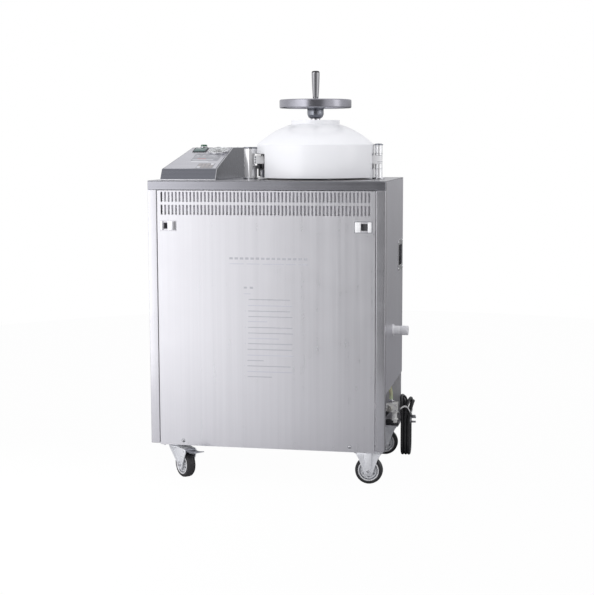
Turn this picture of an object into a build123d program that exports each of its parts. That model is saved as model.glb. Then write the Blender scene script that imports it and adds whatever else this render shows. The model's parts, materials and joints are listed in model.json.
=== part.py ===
from build123d import *
import math
import os

os.makedirs("parts", exist_ok=True)

# ---------------------------------------------------------------- driving sizes, mm
# All shapes are drawn about the middle of the cabinet, +X right, +Y back, +Z up.
# At the end each one is moved by OFFSET_X, OFFSET_Y, so that the origin is the
# middle of the whole outline on the floor.
OFFSET_X = -8.24
OFFSET_Y = 2.41

CAB_W = 650.0            # cabinet width
CAB_D = 400.0            # cabinet depth
CAB_BOTTOM = 93.0        # underside of the base tray
CAB_TOP = 818.0          # top surface of the top plate
SHEET = 2.0              # panel sheet
POST = 25.0              # front posts and top rail
RAIL_Z = 793.0           # underside of the top rail
BAY_TOP = 245.0          # top of the service bay in the right side
BAY_WALL_X = 236.0       # inner wall of the service bay

SLOT_N = 57              # ventilation slots in a row
SLOT_PITCH = 10.14
SLOT_X = -2.1            # middle of the slot rows
SLOT_W = 5.0
SLOT_ROWS = ((726.0, 752.5), (761.0, 787.5))

LID_X = 102.0            # axis of chamber, lid and handwheel
MOUTH_R = 125.0          # inside radius of the chamber
CHAMBER_FLOOR = 330.0
LIFT = 10.0              # travel of the lid on its screw

POST_X = 279.0           # pivot post of the lid arm
LOCK_X = -84.0           # locking column
ARM_Z0, ARM_Z1 = 860.0, 883.0

COVER_R = 163.0          # white lid cover
COVER_Z0, COVER_ZS, COVER_ZT = 823.0, 913.0, 979.0
COVER_T = 4.0

WHEEL_R = 100.0          # handwheel
GRIP_ANGLE = -79.3       # crank grip, degrees from +X

CASTER_R = 37.5
AXLE_Z = 37.5
RIGID_X = 280.0
RIGID_Y = 172.0
SWIVEL_X = -255.0
SWIVEL_Y = 168.0
TRAIL = 35.0
SWIVEL_ANGLE_F = -44.6   # direction of the trail, front left
SWIVEL_ANGLE_R = 139.0   # rear left

HALF_W = CAB_W / 2
HALF_D = CAB_D / 2


# ---------------------------------------------------------------- small helpers
def box(x0, x1, y0, y1, z0, z1):
    return Pos((x0 + x1) / 2, (y0 + y1) / 2, (z0 + z1) / 2) * Box(x1 - x0, y1 - y0, z1 - z0)


def cyl(x, y, z0, z1, r):
    return Pos(x, y, (z0 + z1) / 2) * Cylinder(r, z1 - z0)


def cyl_x(x0, x1, y, z, r):
    return Pos((x0 + x1) / 2, y, z) * Rot(0, 90, 0) * Cylinder(r, x1 - x0)


def cyl_y(x, y0, y1, z, r):
    return Pos(x, (y0 + y1) / 2, z) * Rot(90, 0, 0) * Cylinder(r, y1 - y0)


def prism_x(points, x0, x1):
    """closed Y-Z outline, pushed from x0 to x1"""
    plane = Plane(origin=(x0, 0, 0), x_dir=(0, 1, 0), z_dir=(1, 0, 0))
    return extrude(plane * make_face(Polyline(*points, close=True)), amount=x1 - x0)


def prism_y(points, y0, y1):
    """closed X-Z outline, pushed from y0 to y1"""
    plane = Plane(origin=(0, y0, 0), x_dir=(1, 0, 0), z_dir=(0, -1, 0))
    return extrude(plane * make_face(Polyline(*points, close=True)), amount=-(y1 - y0))


def spun(points, x, y):
    """closed R-Z outline turned about the vertical line through x, y"""
    face = Plane.XZ * make_face(Polyline(*points, close=True))
    return Pos(x, y, 0) * revolve(face, Axis.Z, 360)


PIECES = {}


def keep(name, shape):
    PIECES[name] = shape


# ---------------------------------------------------------------- cabinet
base = box(-HALF_W + SHEET, HALF_W - SHEET, -HALF_D + SHEET, HALF_D - SHEET, CAB_BOTTOM, CAB_BOTTOM + 4)
for sx in (-1, 1):
    cx = sx * (HALF_W - POST / 2)
    base -= box(cx - POST / 2, cx + POST / 2, -HALF_D, -HALF_D + POST, CAB_BOTTOM - 1, CAB_BOTTOM + 6)
base -= box(288, HALF_W, -HALF_D + POST + 12, 122, CAB_BOTTOM - 1, CAB_BOTTOM + 6)
keep("base_tray", base)

keep("front_left_post", box(-HALF_W, -HALF_W + POST, -HALF_D, -HALF_D + POST, CAB_BOTTOM, RAIL_Z))
keep("front_right_post", box(HALF_W - POST, HALF_W, -HALF_D, -HALF_D + POST, CAB_BOTTOM, RAIL_Z))
keep("front_top_rail", box(-HALF_W, HALF_W, -HALF_D, -HALF_D + POST, RAIL_Z, CAB_TOP - SHEET))

top = box(-HALF_W, HALF_W, -HALF_D, HALF_D, CAB_TOP - SHEET, CAB_TOP)
top -= cyl(LID_X, 0, CAB_TOP - 5, CAB_TOP + 5, 156.0)
keep("top_plate", top)

GRIP_Y0, GRIP_Y1, GRIP_Z0, GRIP_Z1 = 93.0, 169.0, 569.0, 627.0      # pocket of the side grips
for name, s, z0 in (("left_panel", -1, CAB_BOTTOM), ("right_panel", 1, BAY_TOP)):
    lo, hi = sorted((s * HALF_W, s * (HALF_W - SHEET)))
    panel = box(lo, hi, -HALF_D + POST, HALF_D, z0, CAB_TOP - SHEET)
    panel -= box(lo - 1, hi + 1, GRIP_Y0 - 2, GRIP_Y1 + 2, GRIP_Z0 - 2, GRIP_Z1 + 2)
    keep(name, panel)
keep("rear_panel", box(-HALF_W + SHEET, HALF_W - SHEET, HALF_D - SHEET, HALF_D, CAB_BOTTOM, CAB_TOP - SHEET))

# inner wall and roof of the service bay, one folded sheet
bay = box(BAY_WALL_X, BAY_WALL_X + SHEET, -HALF_D + POST + 12, HALF_D - SHEET, CAB_BOTTOM + 4, BAY_TOP + 3)
bay += box(BAY_WALL_X, HALF_W - SHEET, -HALF_D + POST + 12, HALF_D - SHEET, BAY_TOP + 1, BAY_TOP + 3)
keep("service_bay_liner", bay)

# front panel: slotted sheet between the posts, with two rectangular latch cut-outs
PX = HALF_W - POST - 1.5
front = box(-PX, PX, -HALF_D, -HALF_D + SHEET, CAB_BOTTOM - 3, RAIL_Z - 1.5)
slots = []
for z0, z1 in SLOT_ROWS:
    for i in range(SLOT_N):
        sx = SLOT_X + (i - (SLOT_N - 1) / 2) * SLOT_PITCH
        slots.append(box(sx - SLOT_W / 2, sx + SLOT_W / 2, -HALF_D - 1, -HALF_D + SHEET + 1, z0, z1))
front -= slots
LATCHES = ((-291.0, -245.0, 682.0, 710.0, -280.0, -270.0), (242.5, 289.5, 681.5, 711.5, 260.0, 278.0))
for x0, x1, z0, z1, a, b in LATCHES:
    front -= box(x0, x1, -HALF_D - 1, -HALF_D + SHEET + 1, z0, z1)
keep("front_panel", front)

# two recessed latches with a finger pocket
latches = []
for x0, x1, z0, z1, a, b in LATCHES:
    body = box(x0, x1, -HALF_D - 1.0, -HALF_D + SHEET, z0, z1)
    body += box(x0 + 3, x1 - 3, -HALF_D + SHEET, -HALF_D + 16, z0 + 3, z1 - 3)
    body -= box(a, b, -HALF_D - 2, -HALF_D + 13, z0 + 6, z1 - 6)
    latches.append(body)
keep("panel_latches", Compound(children=latches))

# ---------------------------------------------------------------- chamber
keep("chamber_vessel", spun([
    (0, CHAMBER_FLOOR - 6), (131, CHAMBER_FLOOR - 6), (131, 799), (165, 799), (165, CAB_TOP - SHEET),
    (155, CAB_TOP - SHEET), (155, CAB_TOP - 1), (141, CAB_TOP - 1), (141, CAB_TOP - 7), (132, CAB_TOP - 7),
    (132, CAB_TOP - 1), (MOUTH_R, CAB_TOP - 1), (MOUTH_R, CHAMBER_FLOOR), (0, CHAMBER_FLOOR)], LID_X, 0))
keep("chamber_gasket", spun([(132, CAB_TOP - 7), (141, CAB_TOP - 7), (141, CAB_TOP), (132, CAB_TOP)], LID_X, 0))

# ---------------------------------------------------------------- lid group, parked raised on its screw
# locking column with a mouth for the tongue of the arm
lock = cyl(LOCK_X, 0, CAB_TOP, 903, 18.5) + cyl(LOCK_X, 0, 903, 906, 19.5)
lock -= box(LOCK_X + 9, LOCK_X + 30, -30, 30, ARM_Z0 - 5, ARM_Z1 + 5)
keep("locking_column", lock)

# pivot post: lower part, pin through the sleeve of the arm, upper part with a cap
post = spun([(0, CAB_TOP), (15, CAB_TOP), (15, CAB_TOP + 2), (11, CAB_TOP + 2), (11, ARM_Z0 - 0.5), (7, ARM_Z0 - 0.5), (7, ARM_Z1 + 0.5),
             (11, ARM_Z1 + 0.5), (11, 911), (12.2, 911), (12.2, 913), (9, 915), (0, 915.6)], POST_X, 0)
keep("pivot_post", post)

arm = Pos(0, 0, ARM_Z0) * extrude(make_face(Polyline(
    (LOCK_X + 14, -20), (LID_X - 45, -20), (LID_X, -38), (LID_X + 45, -24), (POST_X, -10.9),
    (POST_X, 10.9), (LID_X + 45, 24), (LID_X, 38), (LID_X - 45, 20), (LOCK_X + 14, 20), close=True)),
    amount=ARM_Z1 - ARM_Z0)
arm += cyl(POST_X, 0, ARM_Z0, ARM_Z1, 11)
arm -= cyl(POST_X, 0, ARM_Z0 - 1, ARM_Z1 + 1, 7.4)
arm -= cyl(LID_X, 0, ARM_Z0 - 1, ARM_Z1 + 1, 13.5)
keep("lid_arm", arm)

keep("pressure_lid", spun([(0, 823), (155, 823), (155, 843), (60, 843), (60, 847), (20, 847), (20, 843.5), (0, 843.5)], LID_X, 0)
     - cyl(LID_X, 0, 843.5, 850, 13.6))

# white cover: skirt, spherical cap and raised disc, open below
cap_h = COVER_ZT - COVER_ZS
cap_r = (COVER_R ** 2 + cap_h ** 2) / (2 * cap_h)
cap_c = COVER_ZT - cap_r
in_r = cap_r - COVER_T
in_side = COVER_R - COVER_T


def arc_points(r, x_from, x_to, n=14):
    out = []
    for i in range(n + 1):
        x = x_from + (x_to - x_from) * i / n
        out.append((x, cap_c + math.sqrt(r * r - x * x)))
    return out


outer_mid = cap_c + math.sqrt(cap_r ** 2 - (COVER_R / 2) ** 2)
inner_edge_z = cap_c + math.sqrt(in_r ** 2 - in_side ** 2)
inner_mid = cap_c + math.sqrt(in_r ** 2 - (in_side / 2) ** 2)
with BuildPart() as cover_b:
    with BuildSketch(Plane.XZ) as cover_s:
        with BuildLine():
            Line((in_side, COVER_Z0), (COVER_R, COVER_Z0))
            Line((COVER_R, COVER_Z0), (COVER_R, COVER_ZS))
            ThreePointArc((COVER_R, COVER_ZS), (COVER_R / 2, outer_mid), (0, COVER_ZT))
            Line((0, COVER_ZT), (0, cap_c + in_r))
            ThreePointArc((0, cap_c + in_r), (in_side / 2, inner_mid), (in_side, inner_edge_z))
            Line((in_side, inner_edge_z), (in_side, COVER_Z0))
        make_face()
        shoulder = [v for v in cover_s.vertices() if abs(v.Z - COVER_ZS) < 0.01 and abs(v.X - COVER_R) < 0.01]
        hollow = [v for v in cover_s.vertices() if abs(v.Z - inner_edge_z) < 0.01 and abs(v.X - in_side) < 0.01]
        fillet(shoulder, 34)
        fillet(hollow, 30)
    revolve(axis=Axis.Z)
cover = Pos(LID_X, 0, 0) * cover_b.part
cover += cyl(LID_X, 0, 966, 980, 67.0)
cover += cyl(LID_X, 0, 827, 839, in_side + 1) - cyl(LID_X, 0, 826, 840, 155.0)
cover -= cyl(LID_X, 0, 940, 990, 14.5)
# notch in the front left of the skirt, for the arm and the locking column
n_pts = [(0, 0)]
for a in (-10.0, 3.0, 16.0, 29.0, 41.5):
    n_pts.append((-190 * math.cos(math.radians(a)), -190 * math.sin(math.radians(a))))
wedge = Pos(LID_X, 0, 815) * extrude(make_face(Polyline(*n_pts, close=True)), amount=887 - 815)
cover -= wedge - cyl(LID_X, 0, 810, 890, 145)
# small notch at the right for the arm and its sleeve
cover -= box(LID_X + 140, LID_X + 170, -16, 16, 845, 888)
cover -= cyl(POST_X, 0, 815, 925, 14.5)
keep("lid_cover", cover)

spindle = spun([(0, 844), (13.2, 844), (13.2, 985), (20, 985), (22, 990), (23, 998), (23, 1012), (0, 1012)], LID_X, 0)
keep("screw_spindle", spindle)

rim = spun([(88, 1013.5), (97.5, 1013.5), (100, 1016), (100, 1034.5), (97.5, 1037), (88, 1037), (86, 1035), (86, 1015.5)], LID_X, 0)
hub = spun([(0, 1012), (24, 1012), (26, 1015), (26, 1032), (22, 1036), (0, 1036)], LID_X, 0)
wheel = rim + hub
for k in range(3):
    ang = GRIP_ANGLE + 120 * k
    spoke = Pos(LID_X, 0, 0) * Rot(0, 0, ang) * box(20, 90, -9, 9, 1019, 1031)
    wheel += spoke
gx = LID_X + 88 * math.cos(math.radians(GRIP_ANGLE))
gy = 88 * math.sin(math.radians(GRIP_ANGLE))
wheel += cyl(gx, gy, 1025, 1100, 4.0)
keep("handwheel", wheel)

grip = spun([(4.4, 1037.6), (7.6, 1037.6), (8.2, 1045), (9.4, 1060), (10.6, 1090), (11, 1104), (10.2, 1109), (7.5, 1111), (0, 1111),
             (0, 1101), (4.4, 1101)], gx, gy)
keep("crank_grip", grip)

# ---------------------------------------------------------------- console on the top left
C_L, C_R = -304.0, -146.5
C_F, C_B = -158.0, 190.0
C_H = 905.0
LIP = 18.0               # the front lip leans back by this much
side_profile = [(C_F, CAB_TOP), (C_B, CAB_TOP), (C_B, C_H), (48, C_H), (C_F + LIP, CAB_TOP + 30)]
console = prism_x(side_profile, C_L, C_R)
# left side runs inwards towards the back, cut by a plane through three points of it
cut_a, cut_b, cut_c = Vector(-302.5, C_F, CAB_TOP), Vector(-302.0, C_F + LIP, CAB_TOP + 30), Vector(-266.6, 48, C_H)
cut_n = (cut_b - cut_a).cross(cut_c - cut_a).normalized()
if cut_n.X > 0:
    cut_n = cut_n * -1
console -= Plane(origin=tuple(cut_a), z_dir=tuple(cut_n)) * (Pos(0, 0, 100) * Box(1200, 1200, 200))
keep("console_body", console)

# frame of the sloped face: origin in its front edge, u to the right, v up the slope, n outwards
sv = Vector(0, 48 - (C_F + LIP), C_H - (CAB_TOP + 30))
slope_len = sv.length
v_dir = sv.normalized()
n_dir = Vector(0, -v_dir.Z, v_dir.Y)
FACE = Plane(origin=(0, C_F + LIP, CAB_TOP + 30), x_dir=(1, 0, 0), z_dir=(n_dir.X, n_dir.Y, n_dir.Z))


def on_face(u0, u1, v0, v1, h):
    return FACE * (Pos((u0 + u1) / 2, (v0 + v1) / 2, h / 2) * Box(u1 - u0, v1 - v0, h))


keep("display_window", on_face(-256, -216, slope_len - 44, slope_len - 5, 2.0))
keep("key_pad", on_face(-209, -161, 6, 50, 1.2))
keep("gauge_case", FACE * (Pos(-179, slope_len - 42, 3.5) * Cylinder(29.0, 7.0)))
keep("signal_lamp", cyl(-236, 62, C_H, C_H + 3, 11.0) + cyl(-236, 62, C_H + 3, C_H + 9, 9.5))

# ---------------------------------------------------------------- right side fittings
fit = cyl_x(HALF_W, HALF_W + 3, -25, 400, 16.0)
fit += cyl_x(HALF_W + 3, HALF_W + 22, -25, 400, 12.0)
fit += cyl_x(HALF_W + 22, HALF_W + 43, -25, 400, 13.2)
fit -= cyl_x(HALF_W + 25, HALF_W + 44, -25, 400, 7.0)
keep("side_fitting", fit)

# recessed grips, one in each side: flange on the panel and a pocket behind it
grips = []
for s in (1, -1):
    def side_box(a, b, y0, y1, z0, z1, s=s):
        lo, hi = sorted((s * a, s * b))
        return box(lo, hi, y0, y1, z0, z1)
    grip = side_box(HALF_W, HALF_W + 1.5, GRIP_Y0 - 13, GRIP_Y1 + 13, GRIP_Z0 - 15, GRIP_Z1 + 15)
    grip += side_box(HALF_W - 38, HALF_W, GRIP_Y0 - 2, GRIP_Y1 + 2, GRIP_Z0 - 2, GRIP_Z1 + 2)
    grip -= side_box(HALF_W - 36, HALF_W + 5, GRIP_Y0, GRIP_Y1, GRIP_Z0, GRIP_Z1)
    grips.append(grip)
keep("side_grips", Compound(children=grips))

# ---------------------------------------------------------------- service bay plumbing, by the rear right corner
HOSE_R = 5.0
VX, VY = 306.0, 130.0
valve = box(VX - 16, VX + 16, VY - 20, VY + 20, 139, 163)
valve += cyl(VX + 6, VY, 105, 139, 8.0)
valve += cyl_x(BAY_WALL_X + SHEET, VX - 16, VY, 150, 9.0)
valve += cyl_y(VX - 6, VY - 26, VY - 20, 150, 6.0)
keep("drain_valve", valve)

# lever on the front of the valve, turning about the fore-and-aft line
lever = cyl_y(VX - 6, VY - 34, VY - 26.4, 150, 9.0)
lever += Pos(VX - 6, 0, 150) * Rot(0, 28, 0) * box(-4.5, 4.5, VY - 33, VY - 28, -46, 0)
keep("drain_lever", lever)


def tube(points, r, radii=None):
    """straight runs joined by arcs of 0.45 of the shorter run over tan(half turn)"""
    pts = [Vector(*p) for p in points]
    rr = []
    for a, b, c in zip(pts, pts[1:], pts[2:]):
        turn = (b - a).get_angle(c - b)
        rr.append(0.45 * min((b - a).length, (c - b).length) / math.tan(math.radians(turn / 2)))
    path = FilletPolyline(*points, radius=rr)
    d = (pts[1] - pts[0]).normalized()
    face = Plane(origin=tuple(pts[0]), z_dir=tuple(d)) * Circle(r)
    solid = sweep(face, path=path)
    print("tube radii", [round(x, 1) for x in rr], "length", round(path.length, 1),
          "volume ratio", round(solid.volume / (math.pi * r * r * path.length), 4))
    return solid


HOSE_PATH = ((VX - 4, VY, 163), (VX - 4, VY, 188), (VX - 7, VY - 8, 214), (VX - 7, VY - 8, BAY_TOP + 1))
keep("water_hose", tube(HOSE_PATH, HOSE_R))

# ---------------------------------------------------------------- mains cord, hank and plug
CORD_R = 4.5
GLAND_X, GLAND_Y = 303.0, 218.0
INLET_Z = 212.0          # underside of the inlet box on the rear panel
keep("inlet_box", box(GLAND_X - 14, GLAND_X + 14, HALF_D, GLAND_Y + 14, INLET_Z, INLET_Z + 26))
keep("cord_gland", spun([(0, INLET_Z), (11, INLET_Z), (11, INLET_Z - 6), (9, INLET_Z - 8), (6.2, INLET_Z - 21), (0, INLET_Z - 21)],
                        GLAND_X, GLAND_Y))
CORD_PATH = ((303, 218, INLET_Z - 21), (304.5, 218.5, 177), (309.5, 219, 164), (317, 218.5, 152), (325.5, 215, 141),
             (332, 208, 130), (335.5, 199, 119), (335.5, 192, 107))
keep("cord_tube", tube(CORD_PATH, CORD_R))
# folded length beside the rear right corner: two lobes above, the plug held in its right side
HX0, HX1, HY0, HY1 = 329.0, 356.5, 133.5, 194.5
hank = box(HX0, HX1, HY0, HY1, 2, 168) + box(323, 341, HY0, HY1, 150, 176) + box(345, 363, HY0, HY1, 151, 168)
hank -= box(340.5, 357.5, 152.5, 175.5, 94, 131)
keep("cord_hank", hank)
keep("cord_tie", box(HX0 - 1.5, HX1 + 1.5, HY0 - 1.5, HY1 + 1.5, 142, 149) - box(HX0, HX1, HY0, HY1, 141, 150))
plug = box(341, 356, 153.4, 174.6, 94.5, 130.5)
for dy, dz in ((-6, 9), (6, 2), (0, -10)):
    plug += box(356, 371, 164 + dy - 3, 164 + dy + 3, 112 + dz - 2.6, 112 + dz + 2.6)
keep("mains_plug", plug)


# ---------------------------------------------------------------- casters
def wheel_parts(x, y, ang):
    """hub and tyre, axle along the local Y turned by ang"""
    turn = Pos(x, y, 0) * Rot(0, 0, ang)
    hub_s = cyl_y(0, -12, 12, AXLE_Z, 27.0)
    hub_s -= cyl_y(0, -13, 13, AXLE_Z, 5.3)
    for s in (-1, 1):
        a, b = sorted((s * 9.0, s * 13.0))
        hub_s -= cyl_y(0, a, b, AXLE_Z, 22.0) - cyl_y(0, a - 1, b + 1, AXLE_Z, 10.0)
    tyre_s = Pos(0, 0, AXLE_Z) * Rot(90, 0, 0) * revolve(
        Plane.XZ * make_face(Polyline((27, -12.5), (32, -12.5), (35.5, -11), (37.5, -7.5), (37.5, 7.5), (35.5, 11), (32, 12.5), (27, 12.5), close=True)),
        Axis.Z, 360)
    return turn * hub_s, turn * tyre_s


def axle_line(x, y, ang, half):
    turn = Pos(x, y, 0) * Rot(0, 0, ang)
    bolt = cyl_y(0, -half, half, AXLE_Z, 5.0) + cyl_y(0, -half - 4, -half, AXLE_Z, 7.5) + cyl_y(0, half, half + 4, AXLE_Z, 7.5)
    return turn * bolt


rigid = []
for side, y in (("front", -RIGID_Y), ("rear", RIGID_Y)):
    fork = box(RIGID_X - 40, RIGID_X + 40, y - 25, y + 25, CAB_BOTTOM - 3, CAB_BOTTOM)
    cheek = [(RIGID_X - 38, CAB_BOTTOM - 3), (RIGID_X + 38, CAB_BOTTOM - 3), (RIGID_X + 26, 71), (RIGID_X + 12, 32), (RIGID_X + 8, 24), (RIGID_X - 8, 24), (RIGID_X - 12, 32), (RIGID_X - 26, 71)]
    fork += prism_y(cheek, y - 18.5, y - 16)
    fork += prism_y(cheek, y + 16, y + 18.5)
    rib = [(RIGID_X - 11, CAB_BOTTOM - 3), (RIGID_X + 11, CAB_BOTTOM - 3), (RIGID_X + 6, 30), (RIGID_X - 6, 30)]
    fork += prism_y(rib, y - 21.5, y - 18.5)
    fork += prism_y(rib, y + 18.5, y + 21.5)
    fork += axle_line(RIGID_X, y, 0, 18.5)
    rigid.append(fork)
    h, t = wheel_parts(RIGID_X, y, 0)
    keep("right_%s_wheel_hub" % side, h)
    keep("right_%s_tyre" % side, t)
keep("fixed_caster_forks", Compound(children=rigid))

plates = []
for side, y, ang in (("front", -SWIVEL_Y, SWIVEL_ANGLE_F), ("rear", SWIVEL_Y, SWIVEL_ANGLE_R)):
    mount = box(SWIVEL_X - 40, SWIVEL_X + 40, y - 30, y + 30, CAB_BOTTOM - 3, CAB_BOTTOM)
    mount += cyl(SWIVEL_X, y, 79, CAB_BOTTOM - 3, 9.0) + cyl(SWIVEL_X, y, 76, 79, 13.0)
    plates.append(mount)
    turn = Pos(SWIVEL_X, y, 0) * Rot(0, 0, ang)
    head = cyl(0, 0, 80, 85, 27.0)
    leg = [(-24, 85), (-24, 77), (TRAIL - 13, 36), (TRAIL - 10, 27), (TRAIL + 4, 23), (TRAIL + 12, 30), (TRAIL + 14, 40), (66, 73), (66, 82), (20, 85)]
    head += prism_y(leg, -18.5, -16) + prism_y(leg, 16, 18.5)
    head -= cyl(0, 0, 79, 87, 9.4)
    head -= cyl(0, 0, 70, 79.5, 13.6)
    head += Pos(TRAIL, 0, 0) * (cyl_y(0, -18.5, 18.5, AXLE_Z, 5.0) + cyl_y(0, -22.5, -18.5, AXLE_Z, 7.5) + cyl_y(0, 18.5, 22.5, AXLE_Z, 7.5))
    head += cyl_y(58, -18.5, 18.5, 78, 3.0)
    keep("left_%s_swivel_fork" % side, turn * head)
    pedal = cyl_y(58, -15.4, 15.4, 78, 5.5)
    strip = [(58, 76), (58, 80), (82, 79.5), (100, 81.5), (116, 85), (116.6, 82.3), (101, 78.6), (84, 76)]
    pedal += prism_y(strip, -13, 13)
    pedal += prism_y([(47, 79.5), (58, 81), (58, 77), (48, 76.6)], -8, 8)
    pedal -= cyl_y(58, -16, 16, 78, 3.3)
    keep("left_%s_brake_pedal" % side, turn * pedal)
    cx = SWIVEL_X + TRAIL * math.cos(math.radians(ang))
    cy = y + TRAIL * math.sin(math.radians(ang))
    h, t = wheel_parts(cx, cy, ang)
    keep("left_%s_wheel_hub" % side, h)
    keep("left_%s_tyre" % side, t)
keep("swivel_caster_plates", Compound(children=plates))

# ---------------------------------------------------------------- files
for name, shape in PIECES.items():
    moved = Pos(OFFSET_X, OFFSET_Y, 0) * shape
    if not isinstance(moved, (Solid, Compound, Part)):
        moved = Compound(children=list(moved))
    export_step(moved, os.path.join("parts", name + ".step"))
print(len(PIECES), "pieces")
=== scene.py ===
import bpy
import bmesh
import json
import math
from mathutils import Matrix, Vector

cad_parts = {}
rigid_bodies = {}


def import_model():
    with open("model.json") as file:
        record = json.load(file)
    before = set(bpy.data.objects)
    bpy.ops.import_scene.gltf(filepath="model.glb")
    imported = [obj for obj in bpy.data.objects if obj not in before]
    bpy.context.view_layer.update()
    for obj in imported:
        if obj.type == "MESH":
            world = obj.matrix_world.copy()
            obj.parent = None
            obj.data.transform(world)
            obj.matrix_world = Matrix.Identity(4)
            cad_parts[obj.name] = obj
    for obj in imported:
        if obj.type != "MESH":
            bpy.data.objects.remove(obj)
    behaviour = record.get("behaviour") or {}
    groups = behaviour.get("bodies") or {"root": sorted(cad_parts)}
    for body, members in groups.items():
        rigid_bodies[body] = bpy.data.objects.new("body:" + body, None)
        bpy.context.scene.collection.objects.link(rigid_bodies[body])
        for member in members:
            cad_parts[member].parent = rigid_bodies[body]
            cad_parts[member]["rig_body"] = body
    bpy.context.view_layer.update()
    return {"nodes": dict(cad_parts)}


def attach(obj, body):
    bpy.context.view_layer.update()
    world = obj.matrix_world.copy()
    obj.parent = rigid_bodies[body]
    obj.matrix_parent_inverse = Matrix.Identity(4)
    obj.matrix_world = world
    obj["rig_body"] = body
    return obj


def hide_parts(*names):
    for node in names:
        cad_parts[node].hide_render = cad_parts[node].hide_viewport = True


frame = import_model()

NODES = frame["nodes"]
COL = bpy.context.scene.collection

# the CAD is drawn about the middle of the cabinet and moved by this much, mm
OX, OY = -8.24, 2.41


def P(x, y, z):
    return Vector(((x + OX) / 1000.0, (y + OY) / 1000.0, z / 1000.0))


# ------------------------------------------------------------------ camera
F_PX, PP = 1311.0, (297.0, 297.5)
yaw, pitch, roll = math.radians(11.17), math.radians(6.79), math.radians(-0.16)
fwd = Vector((-math.sin(yaw) * math.cos(pitch), math.cos(yaw) * math.cos(pitch), -math.sin(pitch)))
right = Vector((math.cos(yaw), math.sin(yaw), 0.0))
up = right.cross(fwd)
r2 = right * math.cos(roll) + up * math.sin(roll)
u2 = -right * math.sin(roll) + up * math.cos(roll)
cam_data = bpy.data.cameras.new("camera")
cam = bpy.data.objects.new("camera", cam_data)
COL.objects.link(cam)
cam_data.lens = F_PX * 36.0 / 595.0
cam_data.sensor_width = 36.0
cam_data.clip_start, cam_data.clip_end = 0.05, 60.0
rot = Matrix((r2, u2, -fwd)).transposed().to_4x4()
cam.matrix_world = Matrix.Translation(P(763.0, -3620.0, 922.0)) @ rot
bpy.context.scene.camera = cam


# ------------------------------------------------------------------ node helpers
class Nodes:
    def __init__(self, name, color=(0.5, 0.5, 0.5), metallic=0.0, rough=0.5, **sockets):
        self.mat = bpy.data.materials.new(name)
        self.mat.use_nodes = True
        self.nt = self.mat.node_tree
        self.nt.nodes.clear()
        self.out = self.nt.nodes.new("ShaderNodeOutputMaterial")
        self.b = self.nt.nodes.new("ShaderNodeBsdfPrincipled")
        self.nt.links.new(self.b.outputs[0], self.out.inputs[0])
        self.b.inputs["Base Color"].default_value = (*color, 1.0)
        self.b.inputs["Metallic"].default_value = metallic
        self.b.inputs["Roughness"].default_value = rough
        for k, v in sockets.items():
            self.b.inputs[k.replace("_", " ")].default_value = v
        self.mat.diffuse_color = (*color, 1.0)
        self.coord = self.nt.nodes.new("ShaderNodeTexCoord").outputs["Object"]

    def node(self, kind, **props):
        n = self.nt.nodes.new(kind)
        for k, v in props.items():
            setattr(n, k, v)
        return n

    def link(self, a, b):
        self.nt.links.new(a, b)

    def mapping(self, scale=(1, 1, 1), rotation=(0, 0, 0), loc=(0, 0, 0)):
        m = self.node("ShaderNodeMapping")
        m.inputs["Scale"].default_value = scale
        m.inputs["Rotation"].default_value = rotation
        m.inputs["Location"].default_value = loc
        self.link(self.coord, m.inputs["Vector"])
        return m.outputs[0]

    def noise(self, vec, scale=5.0, detail=3.0, rough=0.55, dist=0.0):
        n = self.node("ShaderNodeTexNoise")
        n.inputs["Scale"].default_value = scale
        n.inputs["Detail"].default_value = detail
        n.inputs["Roughness"].default_value = rough
        n.inputs["Distortion"].default_value = dist
        self.link(vec, n.inputs["Vector"])
        return n.outputs[0]

    def ramp(self, fac, stops, interp="LINEAR"):
        r = self.node("ShaderNodeValToRGB")
        cr = r.color_ramp
        cr.interpolation = interp
        while len(cr.elements) > 1:
            cr.elements.remove(cr.elements[-1])
        cr.elements[0].position = stops[0][0]
        cr.elements[0].color = (*stops[0][1], 1) if not isinstance(stops[0][1], (int, float)) else (stops[0][1],) * 3 + (1,)
        for p, c in stops[1:]:
            e = cr.elements.new(p)
            e.color = (*c, 1) if not isinstance(c, (int, float)) else (c, c, c, 1)
        self.link(fac, r.inputs[0])
        return r.outputs[0]

    def math(self, op, a, b=None, c=None):
        m = self.node("ShaderNodeMath", operation=op)
        for i, v in enumerate((a, b, c)):
            if v is None:
                continue
            if isinstance(v, (int, float)):
                m.inputs[i].default_value = v
            else:
                self.link(v, m.inputs[i])
        return m.outputs[0]

    def mix(self, fac, a, b, blend="MIX"):
        m = self.node("ShaderNodeMix", data_type="RGBA", blend_type=blend)
        for sock, v in ((m.inputs[0], fac), (m.inputs[6], a), (m.inputs[7], b)):
            if isinstance(v, (int, float)):
                sock.default_value = v
            elif isinstance(v, tuple):
                sock.default_value = (*v, 1.0)
            else:
                self.link(v, sock)
        return m.outputs[2]

    def bump(self, height, strength=0.2, distance=0.0005, normal=None):
        n = self.node("ShaderNodeBump")
        n.inputs["Strength"].default_value = strength
        n.inputs["Distance"].default_value = distance
        self.link(height, n.inputs["Height"])
        if normal is not None:
            self.link(normal, n.inputs["Normal"])
        return n.outputs[0]

    def to(self, out, socket):
        self.link(out, self.b.inputs[socket])


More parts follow.
